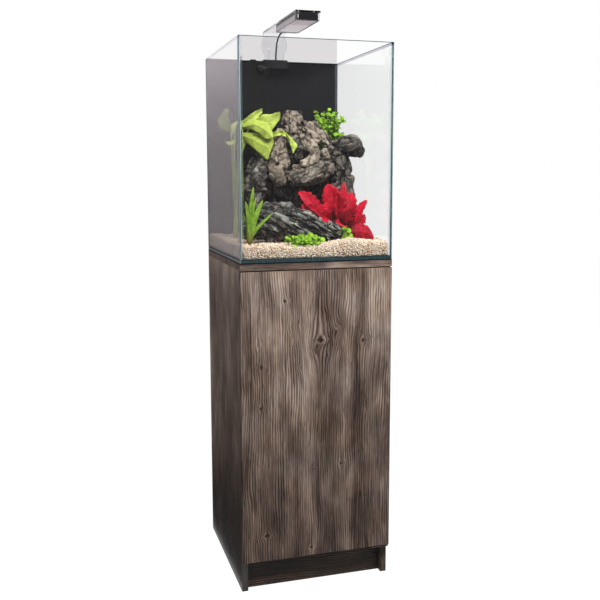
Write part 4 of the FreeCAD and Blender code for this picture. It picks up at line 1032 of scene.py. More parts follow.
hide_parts("gravel_bed")

for part_name, y_low, y_high, step in (("gravel_front", bed_front, FRONT_REAR_SPLIT, 4.2),
                                       ("gravel_rear", FRONT_REAR_SPLIT, bed_rear, 5.2)):
    flat = scattered((bed_left + EDGE_ROOM, y_low + EDGE_ROOM), (bed_right - EDGE_ROOM, y_high - EDGE_ROOM),
                     step, bed_draws)
    size = bed_draws.uniform(0.42, 0.8, len(flat)) * step
    lift = bed_draws.uniform(-0.35, 0.75, len(flat)) * size
    pebbles(part_name, np.column_stack([flat, bed_height(*flat.T) + lift]), size, gravel_quartz, bed_draws)

side_places = []
for wall, along_low, along_high, step in (("front", bed_left, bed_right, 3.4),
                                          ("left", bed_front, bed_rear, 4.2),
                                          ("right", bed_front, bed_rear, 4.2)):
    spots = scattered((along_low + CORNER_ROOM, bed_floor + EDGE_ROOM),
                      (along_high - CORNER_ROOM, bed_level + HEAP_ROOM), step, bed_draws)
    inset = WALL_INSET + SEAM_LEG * np.clip(1 - (spots[:, 1] - bed_floor) / SEAM_LEG, 0, 1)
    x, y = {"front": (spots[:, 0], bed_front + inset), "left": (bed_left + inset, spots[:, 0]),
            "right": (bed_right - inset, spots[:, 0])}[wall]
    spots = np.column_stack([x, y, spots[:, 1]])
    side_places.append(spots[spots[:, 2] < bed_height(spots[:, 0], spots[:, 1])])
side_places = np.concatenate(side_places)
pebbles("gravel_sides", side_places, bed_draws.uniform(1.5, 2.8, len(side_places)), gravel_quartz, bed_draws)

# %% [markdown]
# ## The rock
# The rock is a cast aquarium rock: a bridge on two legs with a pitted chimney, a grooved arm and a ledge. It
# could be sculpted by hand, but that can't be repeated in a script. Here each mass is a swept tube with its
# own half sizes. A voxel Remesh melts the tubes into one closed skin, and the skin is then pushed in and out
# by noise: pillows, pits, broken plates and cracks. Each mass stretches the noise along its own direction, so
# columns have upright grooves and the ledge has level ones.


# %% Tubes
def path_axes(path, reference):
    """Unit vectors at each row of a path: along it, to its side, which is the cross product of along and the
    reference, and over it, which is square to both."""
    along = unit(np.gradient(path, axis=-2))
    side = unit(np.cross(along, np.asarray(reference, float)))
    return along, side, np.cross(side, along)


def swept(path, half_sizes, columns, reference=(0, 0, 1)):
    """A tube round one path or many: at each row an ellipse with half sizes a and b, at path + a cos t side +
    b sin t over."""
    _, side, over = path_axes(path, reference)
    turn = np.arange(columns) * 2 * np.pi / columns
    across = half_sizes[..., :1, None] * np.cos(turn)[:, None] * side[..., None, :]
    upward = half_sizes[..., 1:, None] * np.sin(turn)[:, None] * over[..., None, :]
    return path[..., None, :] + across + upward


def tube_faces(count, rows, columns):
    """Faces for many equal tubes: quads round each, and a polygon on each of its ends."""
    first = np.arange(count)[:, None, None] * rows * columns
    around = grid_faces(rows, columns, around=True)[None] + first
    start = np.arange(columns)[None, None, ::-1] + first
    end = (rows - 1) * columns + np.arange(columns)[None, None] + first
    return [around.reshape(-1, 4), np.concatenate([start, end]).reshape(-1, columns)]


def stations(listed, rows):
    """Rows between listed stations, evenly spaced in station number and eased half way to a cosine step."""
    listed = np.asarray(listed, float)
    at = np.linspace(0, len(listed) - 1, rows)
    low = np.minimum(at.astype(int), len(listed) - 2)
    share = (at - low)[:, None]
    share = 0.5 * share + 0.25 * (1 - np.cos(np.pi * share))
    return listed[low] * (1 - share) + listed[low + 1] * share


print("tube tools ready")

# %% Rock masses
UPRIGHT, LEVEL = (0, 1, 0), (0, 0, 1)
DOWN_RIGHT = (0.75, 0.0, -0.75)
ROCK_MASSES = [
    # stations (x, y, z, half size to the side, half size over) in mm, reference, direction of the grooves,
    # their spacing, depth and the depth of the pits in mm, and how tan the stone is
    # the left leg, its ledge, the tooth that hangs in front of it
    ([(-118, -19, 899, 29, 46), (-119, -20, 1000, 24, 45), (-116, -22, 1050, 28, 44),
      (-102, -18, 1090, 30, 40), (-84, -14, 1124, 24, 34)], UPRIGHT, (0.35, 0.1, 1.0), 15, 6.0, 1.2, 0.1),
    ([(-146, -38, 1034, 22, 7), (-116, -44, 1033, 30, 8), (-92, -42, 1034, 24, 7)],
     LEVEL, (1.0, 0.0, 0.1), 12, 2.0, 1.0, 0.3),
    ([(-54, -48, 1043, 15, 18), (-57, -50, 1068, 23, 24), (-57, -50, 1099, 30, 28), (-54, -45, 1130, 25, 26),
      (-46, -36, 1165, 18, 22), (-38, -28, 1190, 16, 20)], UPRIGHT, (0.3, 0.0, 1.0), 21, 3.0, 1.8, 1.0),
    # the shell below, with level strata, and the strap with its plate that curls down to it
    ([(-30, -50, 1072, 14, 12), (0, -56, 1066, 24, 23), (40, -58, 1074, 26, 27), (80, -52, 1094, 24, 22),
      (97, -44, 1106, 18, 15)], LEVEL, (1.0, 0.0, 0.3), 11, 4.0, 1.4, 0.5),
    ([(8, -36, 1182, 10, 12), (24, -50, 1158, 13, 13), (43, -57, 1136, 17, 14), (40, -60, 1117, 16, 14),
      (16, -58, 1099, 14, 13), (-14, -52, 1084, 12, 12)], UPRIGHT, (0.5, 0.0, 0.8), 18, 2.4, 1.6, 1.0),
    # the core: the rear wall, the bridge and the cone under the chimney
    ([(5, 48, 899, 116, 26), (5, 48, 980, 120, 30), (5, 46, 1084, 112, 30)],
     UPRIGHT, (0.0, 0.0, 1.0), 14, 4.0, 2.0, 0.1),
    ([(-106, 14, 1088, 30, 32), (0, 14, 1104, 34, 44), (120, 10, 1096, 36, 40)],
     LEVEL, (0.7, 0.0, 0.6), 14, 3.0, 2.0, 0.2),
    ([(2, 12, 1110, 74, 36), (0, 10, 1150, 54, 36), (0, 4, 1190, 34, 32)],
     UPRIGHT, (0.7, 0.0, -0.7), 14, 3.0, 2.0, 0.4),
    # the pitted chimney, the lump below it and the three fingers
    ([(-16, -18, 1152, 20, 26), (-6, -16, 1182, 23, 28), (-3, -12, 1212, 33, 28), (-2, -8, 1232, 26, 25),
      (-3, -6, 1246, 24, 20)], UPRIGHT, (0.3, 0.0, 1.0), 15, 2.0, 4.2, 0.75),
    ([(2, -28, 1162, 13, 16), (4, -38, 1136, 14, 18), (0, -36, 1114, 10, 12)],
     UPRIGHT, (0.4, 0.0, 1.0), 12, 3.0, 2.4, 0.15),
    ([(18, -24, 1214, 10, 12), (42, -36, 1203, 10, 12), (68, -42, 1177, 10, 13), (84, -42, 1150, 10, 14)],
     UPRIGHT, DOWN_RIGHT, 14, 2.0, 1.4, 0.9),
    ([(48, -22, 1216, 8, 10), (66, -30, 1199, 8, 10), (84, -34, 1174, 9, 12)],
     UPRIGHT, DOWN_RIGHT, 14, 2.0, 1.4, 0.6),
    ([(12, -34, 1197, 10, 12), (34, -46, 1185, 10, 12), (53, -52, 1160, 11, 14)],
     UPRIGHT, DOWN_RIGHT, 14, 2.0, 1.6, 0.95),
    # the grey slope, the block on the shell, the neck under the arm, the arm and the right leg
    ([(86, -26, 1172, 17, 16), (95, -34, 1146, 19, 20), (99, -34, 1120, 19, 22)],
     UPRIGHT, (0.5, 0.0, 0.8), 14, 2.5, 1.4, 0.1),
    ([(80, -40, 1102, 17, 18), (80, -44, 1120, 18, 20), (76, -42, 1140, 14, 18)],
     UPRIGHT, (0.9, 0.0, 0.3), 16, 2.0, 1.4, 0.65),
    ([(112, -34, 1076, 28, 30), (114, -40, 1104, 30, 32), (112, -42, 1132, 28, 30), (110, -42, 1152, 22, 24)],
     UPRIGHT, (0.3, 0.0, 1.0), 13, 3.0, 1.8, 0.25),
    ([(94, -36, 1138, 28, 20), (124, -44, 1147, 32, 29), (152, -48, 1149, 32, 30), (170, -50, 1146, 28, 28),
      (182, -50, 1146, 18, 19)], LEVEL, (1.0, 0.0, -0.15), 13, 4.0, 1.6, 0.15),
    ([(126, -15, 899, 50, 54), (127, -15, 980, 47, 53), (128, -18, 1046, 37, 48), (127, -24, 1090, 31, 38),
      (123, -28, 1130, 27, 32)], UPRIGHT, (0.15, 0.0, 1.0), 13, 3.0, 2.4, 0.3)]
MASS_ROWS, MASS_COLUMNS = 12, 24
ROCK_VOXEL = 2.4 * MM
SMOOTH_ROUNDS = 5


def melted(tubes, voxel):
    """Tubes joined by a voxel Remesh and smoothed: points and outward normals in mm, and quads."""
    count, rows, columns = tubes.shape[:3]
    draft = bpy.data.meshes.new("rock_draft")
    faces = [face.tolist() for group in tube_faces(count, rows, columns) for face in group]
    draft.from_pydata((tubes.reshape(-1, 3) * MM).tolist(), [], faces)
    holder = new_object("rock_draft", draft)
    skin = holder.modifiers.new("melt", "REMESH")
    skin.mode = "VOXEL"
    skin.voxel_size = voxel
    smooth = holder.modifiers.new("smooth", "SMOOTH")
    smooth.iterations = SMOOTH_ROUNDS
    mesh = bpy.data.meshes.new_from_object(holder.evaluated_get(bpy.context.evaluated_depsgraph_get()))
    points, normals = np.empty(len(mesh.vertices) * 3), np.empty(len(mesh.vertices) * 3)
    mesh.vertices.foreach_get("co", points)
    mesh.vertices.foreach_get("normal", normals)
    quads = np.empty(len(mesh.loops), int)
    mesh.loops.foreach_get("vertex_index", quads)
    bpy.data.objects.remove(holder)
    bpy.data.meshes.remove(draft)
    bpy.data.meshes.remove(mesh)
    return points.reshape(-1, 3) / MM, normals.reshape(-1, 3), quads.reshape(-1, 4)


def reach_to(points, rows, reference):
    """How far out points lie from a mass, 1 on its skin: at each row the place along side, over and the path
    is divided by the two half sizes and the larger of them, and the least length over the rows counts."""
    along, side, over = path_axes(rows[:, :3], reference)
    nearest = np.full(len(points), np.inf)
    for row, *row_axes in zip(rows, side, over, along):
        sizes = np.array([row[3], row[4], row[3:].max()])
        scaled = (points - row[:3]) @ np.array(row_axes).T / sizes
        nearest = np.minimum(nearest, np.einsum("ij,ij->i", scaled, scaled))
    return np.sqrt(nearest)


mass_rows = np.array([stations(mass[0], MASS_ROWS) for mass in ROCK_MASSES])
mass_tubes = np.stack([swept(rows[:, :3], rows[:, 3:], MASS_COLUMNS, mass[1])
                       for rows, mass in zip(mass_rows, ROCK_MASSES)])
rock_points, rock_normals, rock_quads = melted(mass_tubes, ROCK_VOXEL)
reaches = np.stack([reach_to(rock_points, rows, mass[1]) for rows, mass in zip(mass_rows, ROCK_MASSES)])
print("rock skin of", len(rock_quads), "quads from", len(ROCK_MASSES), "masses")

# %% Rock
# sizes and depths in mm
LUMP_SIZE, KNOB_SIZE, CRACK_SIZE, PIT_SIZE, PLATE_SIZE, CHIP_SIZE = 42, 15, 55, 6.5, 23, 9
LUMP_DEPTH, KNOB_DEPTH, CRACK_DEPTH, JOINT_DEPTH = 4.0, 1.4, 4.0, 5.0
PLATE_DEPTH, PLATE_EDGE_DEPTH, CHIP_DEPTH = 4.6, 2.5, 1.3
WARP_SIZE, WARP_REACH = 30, 7
ROOM_BELOW, ROOM_ABOVE = 2, 1.5
SHARE_FALL, SHARE_LEAST = 8.0, 0.02


def rock_finish(name):
    """Painted shade in the grooves, grey or tan on the crests. warmth picks tan, and pits speckle it."""
    finish = Finish(name, Specular_IOR_Level=0.2)
    speck = finish.cloud(330, 5, 0.75)
    tone = (speck - 0.5) * 1.3 + finish.layer("tone")
    grey = tone.ramp((0.05, srgb(12, 11, 11)), (0.32, srgb(58, 54, 52)), (0.6, srgb(108, 103, 98)),
                     (1.0, srgb(164, 158, 151)))
    tan = tone.ramp((0.05, srgb(18, 15, 14)), (0.32, srgb(84, 74, 66)), (0.6, srgb(150, 136, 121)),
                    (1.0, srgb(184, 171, 154)))
    patch = ((finish.cloud(28) - 0.5) * 1.2 + finish.layer("warmth")).held()
    finish.set(Base_Color=finish.mixed(patch, grey, tan))
    finish.worn(speck, 0.75, 0.95, depth=1.6 * MM)
    return finish


shares = np.exp(-SHARE_FALL * np.minimum(reaches, 4) ** 2) + 1e-9
shares /= shares.sum(0)
warp = WARP_REACH * np.stack([noise(rock_points / WARP_SIZE, 40 + axis) for axis in range(3)], -1)
groove, push, warm = np.zeros((3, len(rock_points)))
for index, (_, _, direction, spacing, groove_depth, pit_depth, warmth) in enumerate(ROCK_MASSES):
    near = shares[index] > SHARE_LEAST
    way = unit(direction)
    bent = (rock_points + warp)[near]
    stretched = bent - 0.8 * np.outer(bent @ way, way)
    crest = pillowed(stretched / spacing, 2, 20 + index)
    pit = np.minimum(layered(bent / PIT_SIZE, 2, 60 + index), 0.0)
    groove[near] += shares[index][near] * (crest + 0.25 * pit * pit_depth)
    push[near] += shares[index][near] * (groove_depth * (crest - 0.7) + 1.6 * pit_depth * pit)
    warm += shares[index] * warmth
nearest = np.sort(reaches, 0)
joint = np.exp(-((nearest[1] - nearest[0]) / 0.09) ** 2) * np.clip((1.35 - nearest[1]) / 0.2, 0, 1)
lump = layered(rock_points / LUMP_SIZE, 2, 80)
knob = layered(rock_points / KNOB_SIZE, 2, 84)
crack = np.exp(-(layered(rock_points / CRACK_SIZE, 3, 70) / 0.03) ** 2)
plate, plate_edge = chipped((rock_points + 1.5 * warp) * np.array([0.8, 1.0, 1.0]) / PLATE_SIZE, 7)
chip, chip_edge = chipped((rock_points + warp) / CHIP_SIZE, 9)
push = 0.7 * push + LUMP_DEPTH * lump + KNOB_DEPTH * knob - CRACK_DEPTH * crack - JOINT_DEPTH * joint
push = push + PLATE_DEPTH * plate - PLATE_EDGE_DEPTH * plate_edge + CHIP_DEPTH * chip
rock_points = rock_points + rock_normals * push[:, None]
rock_low, rock_high = (np.array(corner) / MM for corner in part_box("rock"))
rock_points = np.clip(rock_points, rock_low - ROOM_BELOW, rock_high + ROOM_ABOVE)
# painted shade: the tone drops in grooves, pits, cracks, joints between masses and on plate edges; warmth is
# the stone's own colour
rock_tone_and_shade = (0.56 + 0.5 * (groove - 0.6) + 0.15 * knob + 0.15 * lump - 0.3 * crack - 0.35 * joint
             + 0.14 * plate - 0.3 * plate_edge + 0.08 * chip - 0.07 * chip_edge + 0.2 * (warm - 0.5))
rock_tone_and_shade = np.clip(rock_tone_and_shade, 0, 1)
rock_piece = new_piece("cast_rock", rock_points * MM, [rock_quads], [rock_finish("cast_rock")],
                       layers={"tone": rock_tone_and_shade, "warmth": warm})
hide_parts("rock")
print("rock tone at 5, 50 and 95 percent", np.percentile(rock_tone_and_shade, [5, 50, 95]).round(2))

# %% [markdown]
# ## The bark log
# A slab of weathered bark lies in front of the cave. Its skin is made of long flakes that overlap like worn
# shingles. The log is two swept tubes on fine grids, the slab and its short end piece. Noise that is drawn
# out along the log is cut into terraces, which gives flakes with sharp lower edges, and finer ridges run
# along each flake.

# %% Bark log
LOG_STATIONS = [
    [(-163, -139, 918, 14, 12), (-152, -140, 934, 27, 30), (-118, -141, 953, 33, 50),
     (-64, -141, 953, 33, 50), (-8, -142, 938, 32, 38), (26, -143, 926, 30, 30),
     (52, -145, 918, 25, 22), (66, -146, 911, 11, 9)],
    [(42, -150, 926, 9, 9), (50, -152, 926, 22, 23), (68, -153, 924, 27, 26), (88, -152, 917, 24, 20),
     (101, -151, 910, 15, 12), (106, -151, 906, 6, 5)]]
LOG_LEANS = [0.45, 0.62]
# sizes of flakes and splits in mm along x, y and z, how much finer the fibre is, and depths in mm
FLAKE_SIZE, FLAKE_STEPS = (44, 15, 11), 4
FIBRE_FINENESS = (1.6, 1.8, 1.7)
SPLIT_SIZE = (24, 40, 34)
LOG_ROWS, LOG_COLUMNS = 300, 150
FLAKE_DEPTH, FIBRE_DEPTH, SPLIT_DEPTH = 9.0, 3.4, 4.0


def terraced(values, steps):
    """Values cut into steps with short slopes: whole steps plus the share between them to the sixth power."""
    scaled = values * steps
    whole = np.floor(scaled)
    return (whole + (scaled - whole) ** 6) / steps


def bark_finish(name):
    """Grey weathered bark: black between flakes and pale on their raised edges, painted shade and highlight
    from the height of the skin, brown in places.
    """
    finish = Finish(name, Specular_IOR_Level=0.25)
    speck = finish.cloud(500, 4, 0.65)
    tone = (speck - 0.5) * 0.6 + finish.layer("tone")
    grey = tone.ramp((0.1, srgb(15, 14, 14)), (0.34, srgb(60, 58, 57)), (0.58, srgb(114, 112, 107)),
                     (0.95, srgb(172, 169, 163)))
    brown = finish.cloud(40).spread(0.5, 0.75, 0, 0.6)
    finish.set(Base_Color=finish.mixed(brown, grey, finish.mixed(0.5, grey, srgb(112, 92, 74))))
    finish.worn(speck, 0.7, 0.92, depth=0.9 * MM)
    return finish


log_line = np.stack([stations(listed, LOG_ROWS) for listed in LOG_STATIONS])
log_skin = swept(log_line[..., :3], log_line[..., 3:], LOG_COLUMNS)
log_out = unit(log_skin - log_line[:, :, None, :3])
log_lean = np.array(LOG_LEANS)[:, None, None]
log_slant = np.stack([log_skin[..., 0], log_skin[..., 1],
                      log_skin[..., 2] + log_lean * log_skin[..., 0]], -1) / np.array(FLAKE_SIZE)
log_flakes = terraced(layered(log_slant, 3, 90) + 0.2 * noise(log_skin / 15, 97), FLAKE_STEPS)
log_fibre = ridged(log_slant * np.array(FIBRE_FINENESS), 3, 94)
log_split = np.exp(-(noise(log_skin / np.array(SPLIT_SIZE), 101) / 0.05) ** 2)
log_push = FLAKE_DEPTH * log_flakes + FIBRE_DEPTH * (log_fibre - 0.7) - SPLIT_DEPTH * log_split
log_skin = log_skin + log_out * log_push[..., None]
# painted light and shade: the tone rises on raised flakes and fibres and drops between flakes and in the
# splits
log_tone_and_shade = np.clip(0.4 + 1.3 * (log_fibre - 0.66) + 0.55 * log_flakes - 0.3 * log_split
                   + 0.25 * noise(log_slant * 0.7, 99), 0, 1)
bark_log = new_piece("bark_slab", log_skin * MM, tube_faces(len(log_line), LOG_ROWS, LOG_COLUMNS),
                     [bark_finish("bark_grey")], layers={"tone": log_tone_and_shade})
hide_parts("bark_log")

# %% [markdown]
# ## Leaves and stems
# A leaf could be a flat card with a picture of a leaf, but from the side a card vanishes. Here a leaf is a
# thin closed lens round a Bezier midrib. Its half width follows a power profile, it folds along the midrib,
# and its edges ruffle. All leaves of a plant are worked out together. Stored values, the share along the
# leaf, the place across it and a tint, let the finish draw midrib and veins and tell leaf from leaf.


# %% Leaf tools
LEAF_GAP = 1


def bezier(controls, rows):
    """Points on cubic curves: (1-t)^3 A + 3 (1-t)^2 t B + 3 (1-t) t^2 C + t^3 D."""
    t = np.linspace(0, 1, rows)
    basis = np.stack([(1 - t) ** 3, 3 * (1 - t) ** 2 * t, 3 * (1 - t) * t ** 2, t ** 3], -1)
    return np.einsum("rk,...kj->...rj", basis, np.asarray(controls, float))


def lens_section(across):
    """Places round a lens from edge to edge and back, -1 to 1, and the skin that each is on, 1 or -1."""
    over = np.linspace(-1, 1, across)
    return np.concatenate([over, over[-2:0:-1]]), np.concatenate([np.ones(across), -np.ones(across - 2)])


def leaf_layers(along, across, count, draws):
    """Stored values for equal leaves or stems: the share along, the place across, and a tint for each one."""
    shape = (count, len(along), len(across))
    return {"along": np.broadcast_to(along[:, None], shape), "across": np.broadcast_to(across, shape),
            "tint": np.broadcast_to(draws.uniform(0, 1, (count, 1, 1)), shape)}


def blades(controls, half_width, facing, draws, profile, fold, ruffle, thick, rows, across, scallop=0.0):
    """Leaves round many midribs. With t along and s across from -1 to 1, half width is w = half_width times
    t^a (1-t)^b over its greatest value, times 1 + scallop sin(44 t + phase). A point lies at rib + side w s
    cos(fold) + normal (w |s| sin(fold) + ruffle w s^2 sin(9 t + phase)), and the two skins lie thick
    (1 - s^2) each side of that."""
    ribs = bezier(controls, rows)
    count = len(ribs)
    _, side, normal = path_axes(ribs, np.asarray(facing, float)[:, None, :])
    t = np.linspace(0.0, 1.0, rows)
    rise, drop = profile
    peak = rise / (rise + drop)
    shape = t ** rise * (1 - t) ** drop / (peak ** rise * (1 - peak) ** drop)
    width = np.asarray(half_width, float)[:, None] * np.maximum(shape, 0.035)
    s, skin = lens_section(across)
    phase = draws.uniform(0, 2 * np.pi, (count, 1, 1))
    wave = ruffle * s ** 2 * np.sin(9 * t[None, :, None] + phase + 1.4 * np.sign(s))
    width = width[..., None] * (1 + scallop * np.sin(44 * t[None, :, None] + 3 * phase + 2 * np.sign(s)))
    lift = width * (np.abs(s) * np.sin(fold) + wave) + thick * skin * (1 - s ** 2)
    points = (ribs[:, :, None, :] + side[:, :, None, :] * (width * s * np.cos(fold))[..., None]
              + normal[:, :, None, :] * lift[..., None])
    return points.reshape(-1, 3), tube_faces(count, rows, len(s)), leaf_layers(t, s, count, draws)


def outlined(leaves, draws, thick, ruffle, rows, across):
    """Leaves that face the front, with given outlines. A leaf is its stations (x and z of the upper edge,
    then of the lower edge), y at its foot and at its tip, and how far its midrib stands out. Rows between
    stations are straight, so corners stay crisp. With s across, a point is (1 - |s|) midrib + |s| edge, and
    small nicks follow sin(38 t) sin(17 t + 1)."""
    t = np.linspace(0, 1, rows)
    s, skin = lens_section(across)
    points = []
    for listed, foot_y, tip_y, bow in leaves:
        at = np.linspace(0, 1, len(listed))
        edges = np.stack([np.interp(t, at, column) for column in np.array(listed, float).T], -1)
        edges = edges.reshape(rows, 2, 2)
        edge = np.where(s[None, :, None] < 0, edges[:, :1], edges[:, 1:])
        flat = (1 - np.abs(s))[None, :, None] * edges.mean(1)[:, None] + np.abs(s)[None, :, None] * edge
        nick = (np.sin(38 * t) * np.sin(17 * t + 1) * np.sin(np.pi * t))[:, None] * s * np.abs(s)
        flat = flat + 0.4 * ruffle * nick[..., None] * np.array([0.4, -1.0])
        wave = ruffle * s ** 2 * np.sin(13 * t[:, None] + draws.uniform(0, 6) + 1.4 * np.sign(s))
        depth = (foot_y + (tip_y - foot_y) * t[:, None] - bow * (1 - np.abs(s))
                 + wave * np.sin(np.pi * t[:, None]) - thick * skin * (1 - s ** 2))
        points.append(np.stack([flat[..., 0], depth, flat[..., 1]], -1))
    count = len(leaves)
    return np.array(points).reshape(-1, 3), tube_faces(count, rows, len(s)), leaf_layers(t, s, count, draws)


def stems(controls, draws, radii, rows, columns):
    """Round stems along cubic curves, tapering from one radius to the other. Their stored values match those
    of the leaves."""
    paths = bezier(controls, rows)
    count = len(paths)
    sizes = np.broadcast_to(np.linspace(*radii, rows)[None, :, None], (count, rows, 2))
    points = swept(paths, sizes, columns, (0.37, 0.91, 0.11))
    layers = leaf_layers(np.linspace(0, 0.25, rows), np.zeros(columns), count, draws)
    return points.reshape(-1, 3), tube_faces(count, rows, columns), layers


def plant(name, replaced, slot, finish, *groups):
    """Leaves and stems as one piece in place of a CAD node, held back by the glass."""
    points = np.concatenate([group[0] for group in groups])
    low = np.array([bed_left, bed_front, bed_floor]) + LEAF_GAP
    high = np.array([bed_right, bed_rear, np.inf]) - LEAF_GAP
    points = np.clip(points, low, high)
    first, faces = 0, []
    for group in groups:
        faces += [array + first for array in group[1]]
        first += len(group[0])
    layers = {key: np.concatenate([group[2][key].ravel() for group in groups]) for key in groups[0][2]}
    piece = new_piece(name, points * MM, faces, [finish], layers=layers)
    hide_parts(replaced)


def leaf_finish(name, foot, dark, light, tip, vein, vein_count):
    """Colour from foot to tip along the leaf, dark to light from leaf to leaf, with a paler midrib and veins
    that slant forward. The veins also stand in low relief. On the red and small leaves the dark foot colour
    is painted shade where the leaves crowd together."""
    finish = Finish(name, Specular_IOR_Level=0.22)
    along, away = finish.layer("along"), abs(finish.layer("across"))
    mottle = finish.cloud(130, 3)
    body = finish.mixed((mottle * 2.2 + (finish.layer("tint") * 0.7 - 0.9)).held(), dark, light)
    body = finish.mixed(along.spread(0.0, 0.3, 1, 0), body, foot)
    body = finish.mixed(along.spread(0.75, 1.0, 0, 0.7), body, tip)
    wave = (along - away * 0.22) * (2 * math.pi * vein_count)
    veins = (wave.math("SINE") * 0.5 + 0.5) ** 6.0
    rib = (veins * 0.5).math("MAXIMUM", away.spread(0.03, 0.1, 1, 0))
    finish.set(Base_Color=finish.mixed(rib * 0.35, body, vein))
    finish.worn(mottle, 0.3, 0.5)
    finish.relief(rib + mottle, 0.5 * MM)
    return finish


print("leaf tools ready")

# %% [markdown]
# ## The broad-leaved plant
# A tall plant with big yellow green leaves stands at the left, behind the grass. A few large angular leaves
# hang over the rock, so each has its own outline. The ones behind are fans on a midrib.

# %% Broad-leaved plant
leaf_draws = np.random.default_rng(23)
FRONT_LEAVES = [
    # the olive leaf behind, the upper and the front flap of the big leaf, the hanging leaf, the arch and its
    # curl: stations, y at the foot and at the tip, and how far the midrib stands out, in mm
    ([(-153, 1210, -153, 1195), (-128, 1231, -126, 1203), (-113, 1240, -108, 1222), (-96, 1247, -97, 1235)],
     -36, -44, -5),
    ([(-132, 1205, -130, 1195), (-99, 1230, -102, 1186), (-75, 1232, -75, 1186), (-52, 1237, -52, 1217),
      (-50, 1231, -51, 1224)], -46, -56, -4),
    ([(-154, 1198, -154, 1193), (-122, 1218, -128, 1190), (-99, 1213, -110, 1179), (-77, 1198, -95, 1166),
      (-73, 1174, -82, 1165)], -54, -68, 5),
    ([(-154, 1183, -154, 1169), (-123, 1184, -131, 1149), (-94, 1175, -113, 1133), (-69, 1175, -101, 1121),
      (-69, 1157, -92, 1113), (-85, 1125, -88, 1111)], -44, -60, 5),
    ([(-80, 1182, -79, 1170), (-57, 1190, -55, 1176), (-44, 1188, -47, 1176), (-34, 1179, -39, 1171)],
     -60, -70, -4),
    ([(-38, 1183, -40, 1174), (-26, 1171, -32, 1160), (-12, 1156, -28, 1147), (-10, 1147, -25, 1138),
      (-21, 1130, -24, 1129)], -69, -77, 3)]
REAR_LEAVES = [
    # four points of the midrib in mm, half width in mm and the way that the leaf faces
    ([(-166, 0, 1186), (-176, 12, 1206), (-181, 24, 1224), (-184, 34, 1236)], 30, (-0.9, -0.4, 0.1)),
    ([(-158, 0, 1180), (-160, 24, 1205), (-158, 48, 1215), (-150, 70, 1208)], 21, (-0.2, 0.2, 1.0)),
    ([(-164, -18, 1150), (-176, -36, 1164), (-182, -56, 1162), (-180, -76, 1150)], 14, (-0.4, -0.2, 1.0)),
    ([(-150, -6, 1150), (-128, 8, 1170), (-112, 22, 1178), (-96, 40, 1172)], 19, (0.2, 0.3, 1.0))]
FRONT_STARTS = [(-153, -36, 1202), (-131, -46, 1200), (-153, -54, 1196), (-153, -44, 1176), (-79, -60, 1176)]
BROAD_ROOT = (-160, -10, 900)
rear_controls, rear_widths, rear_facing = (np.array(column, float) for column in zip(*REAR_LEAVES))
leaf_starts = np.concatenate([FRONT_STARTS, rear_controls[:, 0]])
broad_feet = np.array(BROAD_ROOT) + leaf_draws.uniform(-4, 4, leaf_starts.shape) * (1, 1, 0)
stem_points = np.stack([broad_feet, broad_feet + (0, 0, 110), leaf_starts - (0, 0, 70), leaf_starts], 1)
# the stems of the upper flap and of the arch stay behind the hanging leaf
stem_points[1, 2] = (-160, -36, 1146)
stem_points[4, 1:3] = (-160, -12, 1120), (-160, -34, 1196)
broad_finish = leaf_finish("broad_leaf", foot=srgb(124, 134, 38), dark=srgb(146, 162, 56),
                           light=srgb(188, 204, 98), tip=srgb(186, 202, 98), vein=srgb(200, 214, 120),
                           vein_count=7)
plant("broadleaf", "broadleaf_plant", "leaf_yellow_green", broad_finish,
      outlined(FRONT_LEAVES, leaf_draws, thick=0.7, ruffle=3.0, rows=41, across=13),
      blades(rear_controls, rear_widths, rear_facing, leaf_draws, profile=(0.9, 0.35), fold=0.22, ruffle=0.14,
             thick=0.7, rows=22, across=11),
      stems(stem_points, leaf_draws, radii=(2.8, 1.8), rows=20, columns=8))

# %% [markdown]
# ## The red plant
# Crimson pointed leaves with wavy edges rise from one root beside the log and fan out. They are blades on a
# midrib, and one low leaf in front has an outline of its own.

# %% Red plant
RED_LEAVES = [
    # four points of the midrib in mm, half width in mm and the way that the leaf faces
    ([(64, -104, 955), (42, -114, 972), (8, -120, 1006), (-22, -118, 1029)], 27, (0.1, -0.8, 0.6)),
    ([(72, -106, 948), (46, -120, 960), (14, -126, 978), (-15, -126, 994)], 27, (-0.3, -0.9, 0.1)),
    ([(90, -102, 955), (86, -114, 988), (72, -119, 1018), (60, -112, 1049)], 33, (-0.6, -0.9, 0.1)),
    ([(96, -100, 950), (88, -116, 985), (98, -120, 1020), (108, -110, 1053)], 28, (0.5, -0.9, 0.2)),
    ([(108, -102, 945), (106, -124, 972), (118, -131, 998), (128, -122, 1022)], 28, (-0.5, -0.9, 0.3)),
    ([(120, -98, 940), (132, -114, 955), (154, -119, 984), (172, -112, 1006)], 20, (-0.7, -0.6, 0.5)),
    ([(120, -100, 938), (136, -114, 942), (154, -116, 950), (168, -110, 968)], 19, (0.2, -0.9, -0.2)),
    ([(84, -106, 944), (66, -120, 950), (50, -128, 957), (36, -128, 955)], 12, (0.0, -0.7, 0.8)),
    ([(104, -104, 938), (98, -124, 946), (90, -134, 944), (82, -138, 934)], 20, (0.0, -0.8, 0.6)),
    ([(98, -94, 950), (88, -86, 985), (76, -82, 1010), (62, -82, 1030)], 17, (-0.2, 1.0, 0.2)),
    ([(112, -92, 950), (120, -82, 985), (132, -76, 1010), (146, -74, 1026)], 16, (0.2, 1.0, 0.3)),
    ([(106, -92, 945), (104, -78, 970), (104, -66, 1000), (108, -62, 1034)], 17, (0.0, 1.0, 0.1))]
LOW_LEAVES = [([(104, 924, 105, 917), (121, 942, 117, 911), (138, 949, 134, 907), (154, 941, 150, 904),
                (166, 925, 162, 903), (169, 914, 166, 905)], -146, -172, 5)]
LOW_STEM = [(112, -98, 902), (110, -112, 926), (106, -130, 930), (105, -146, 918)]
RED_ROOT = (112, -96, 900)
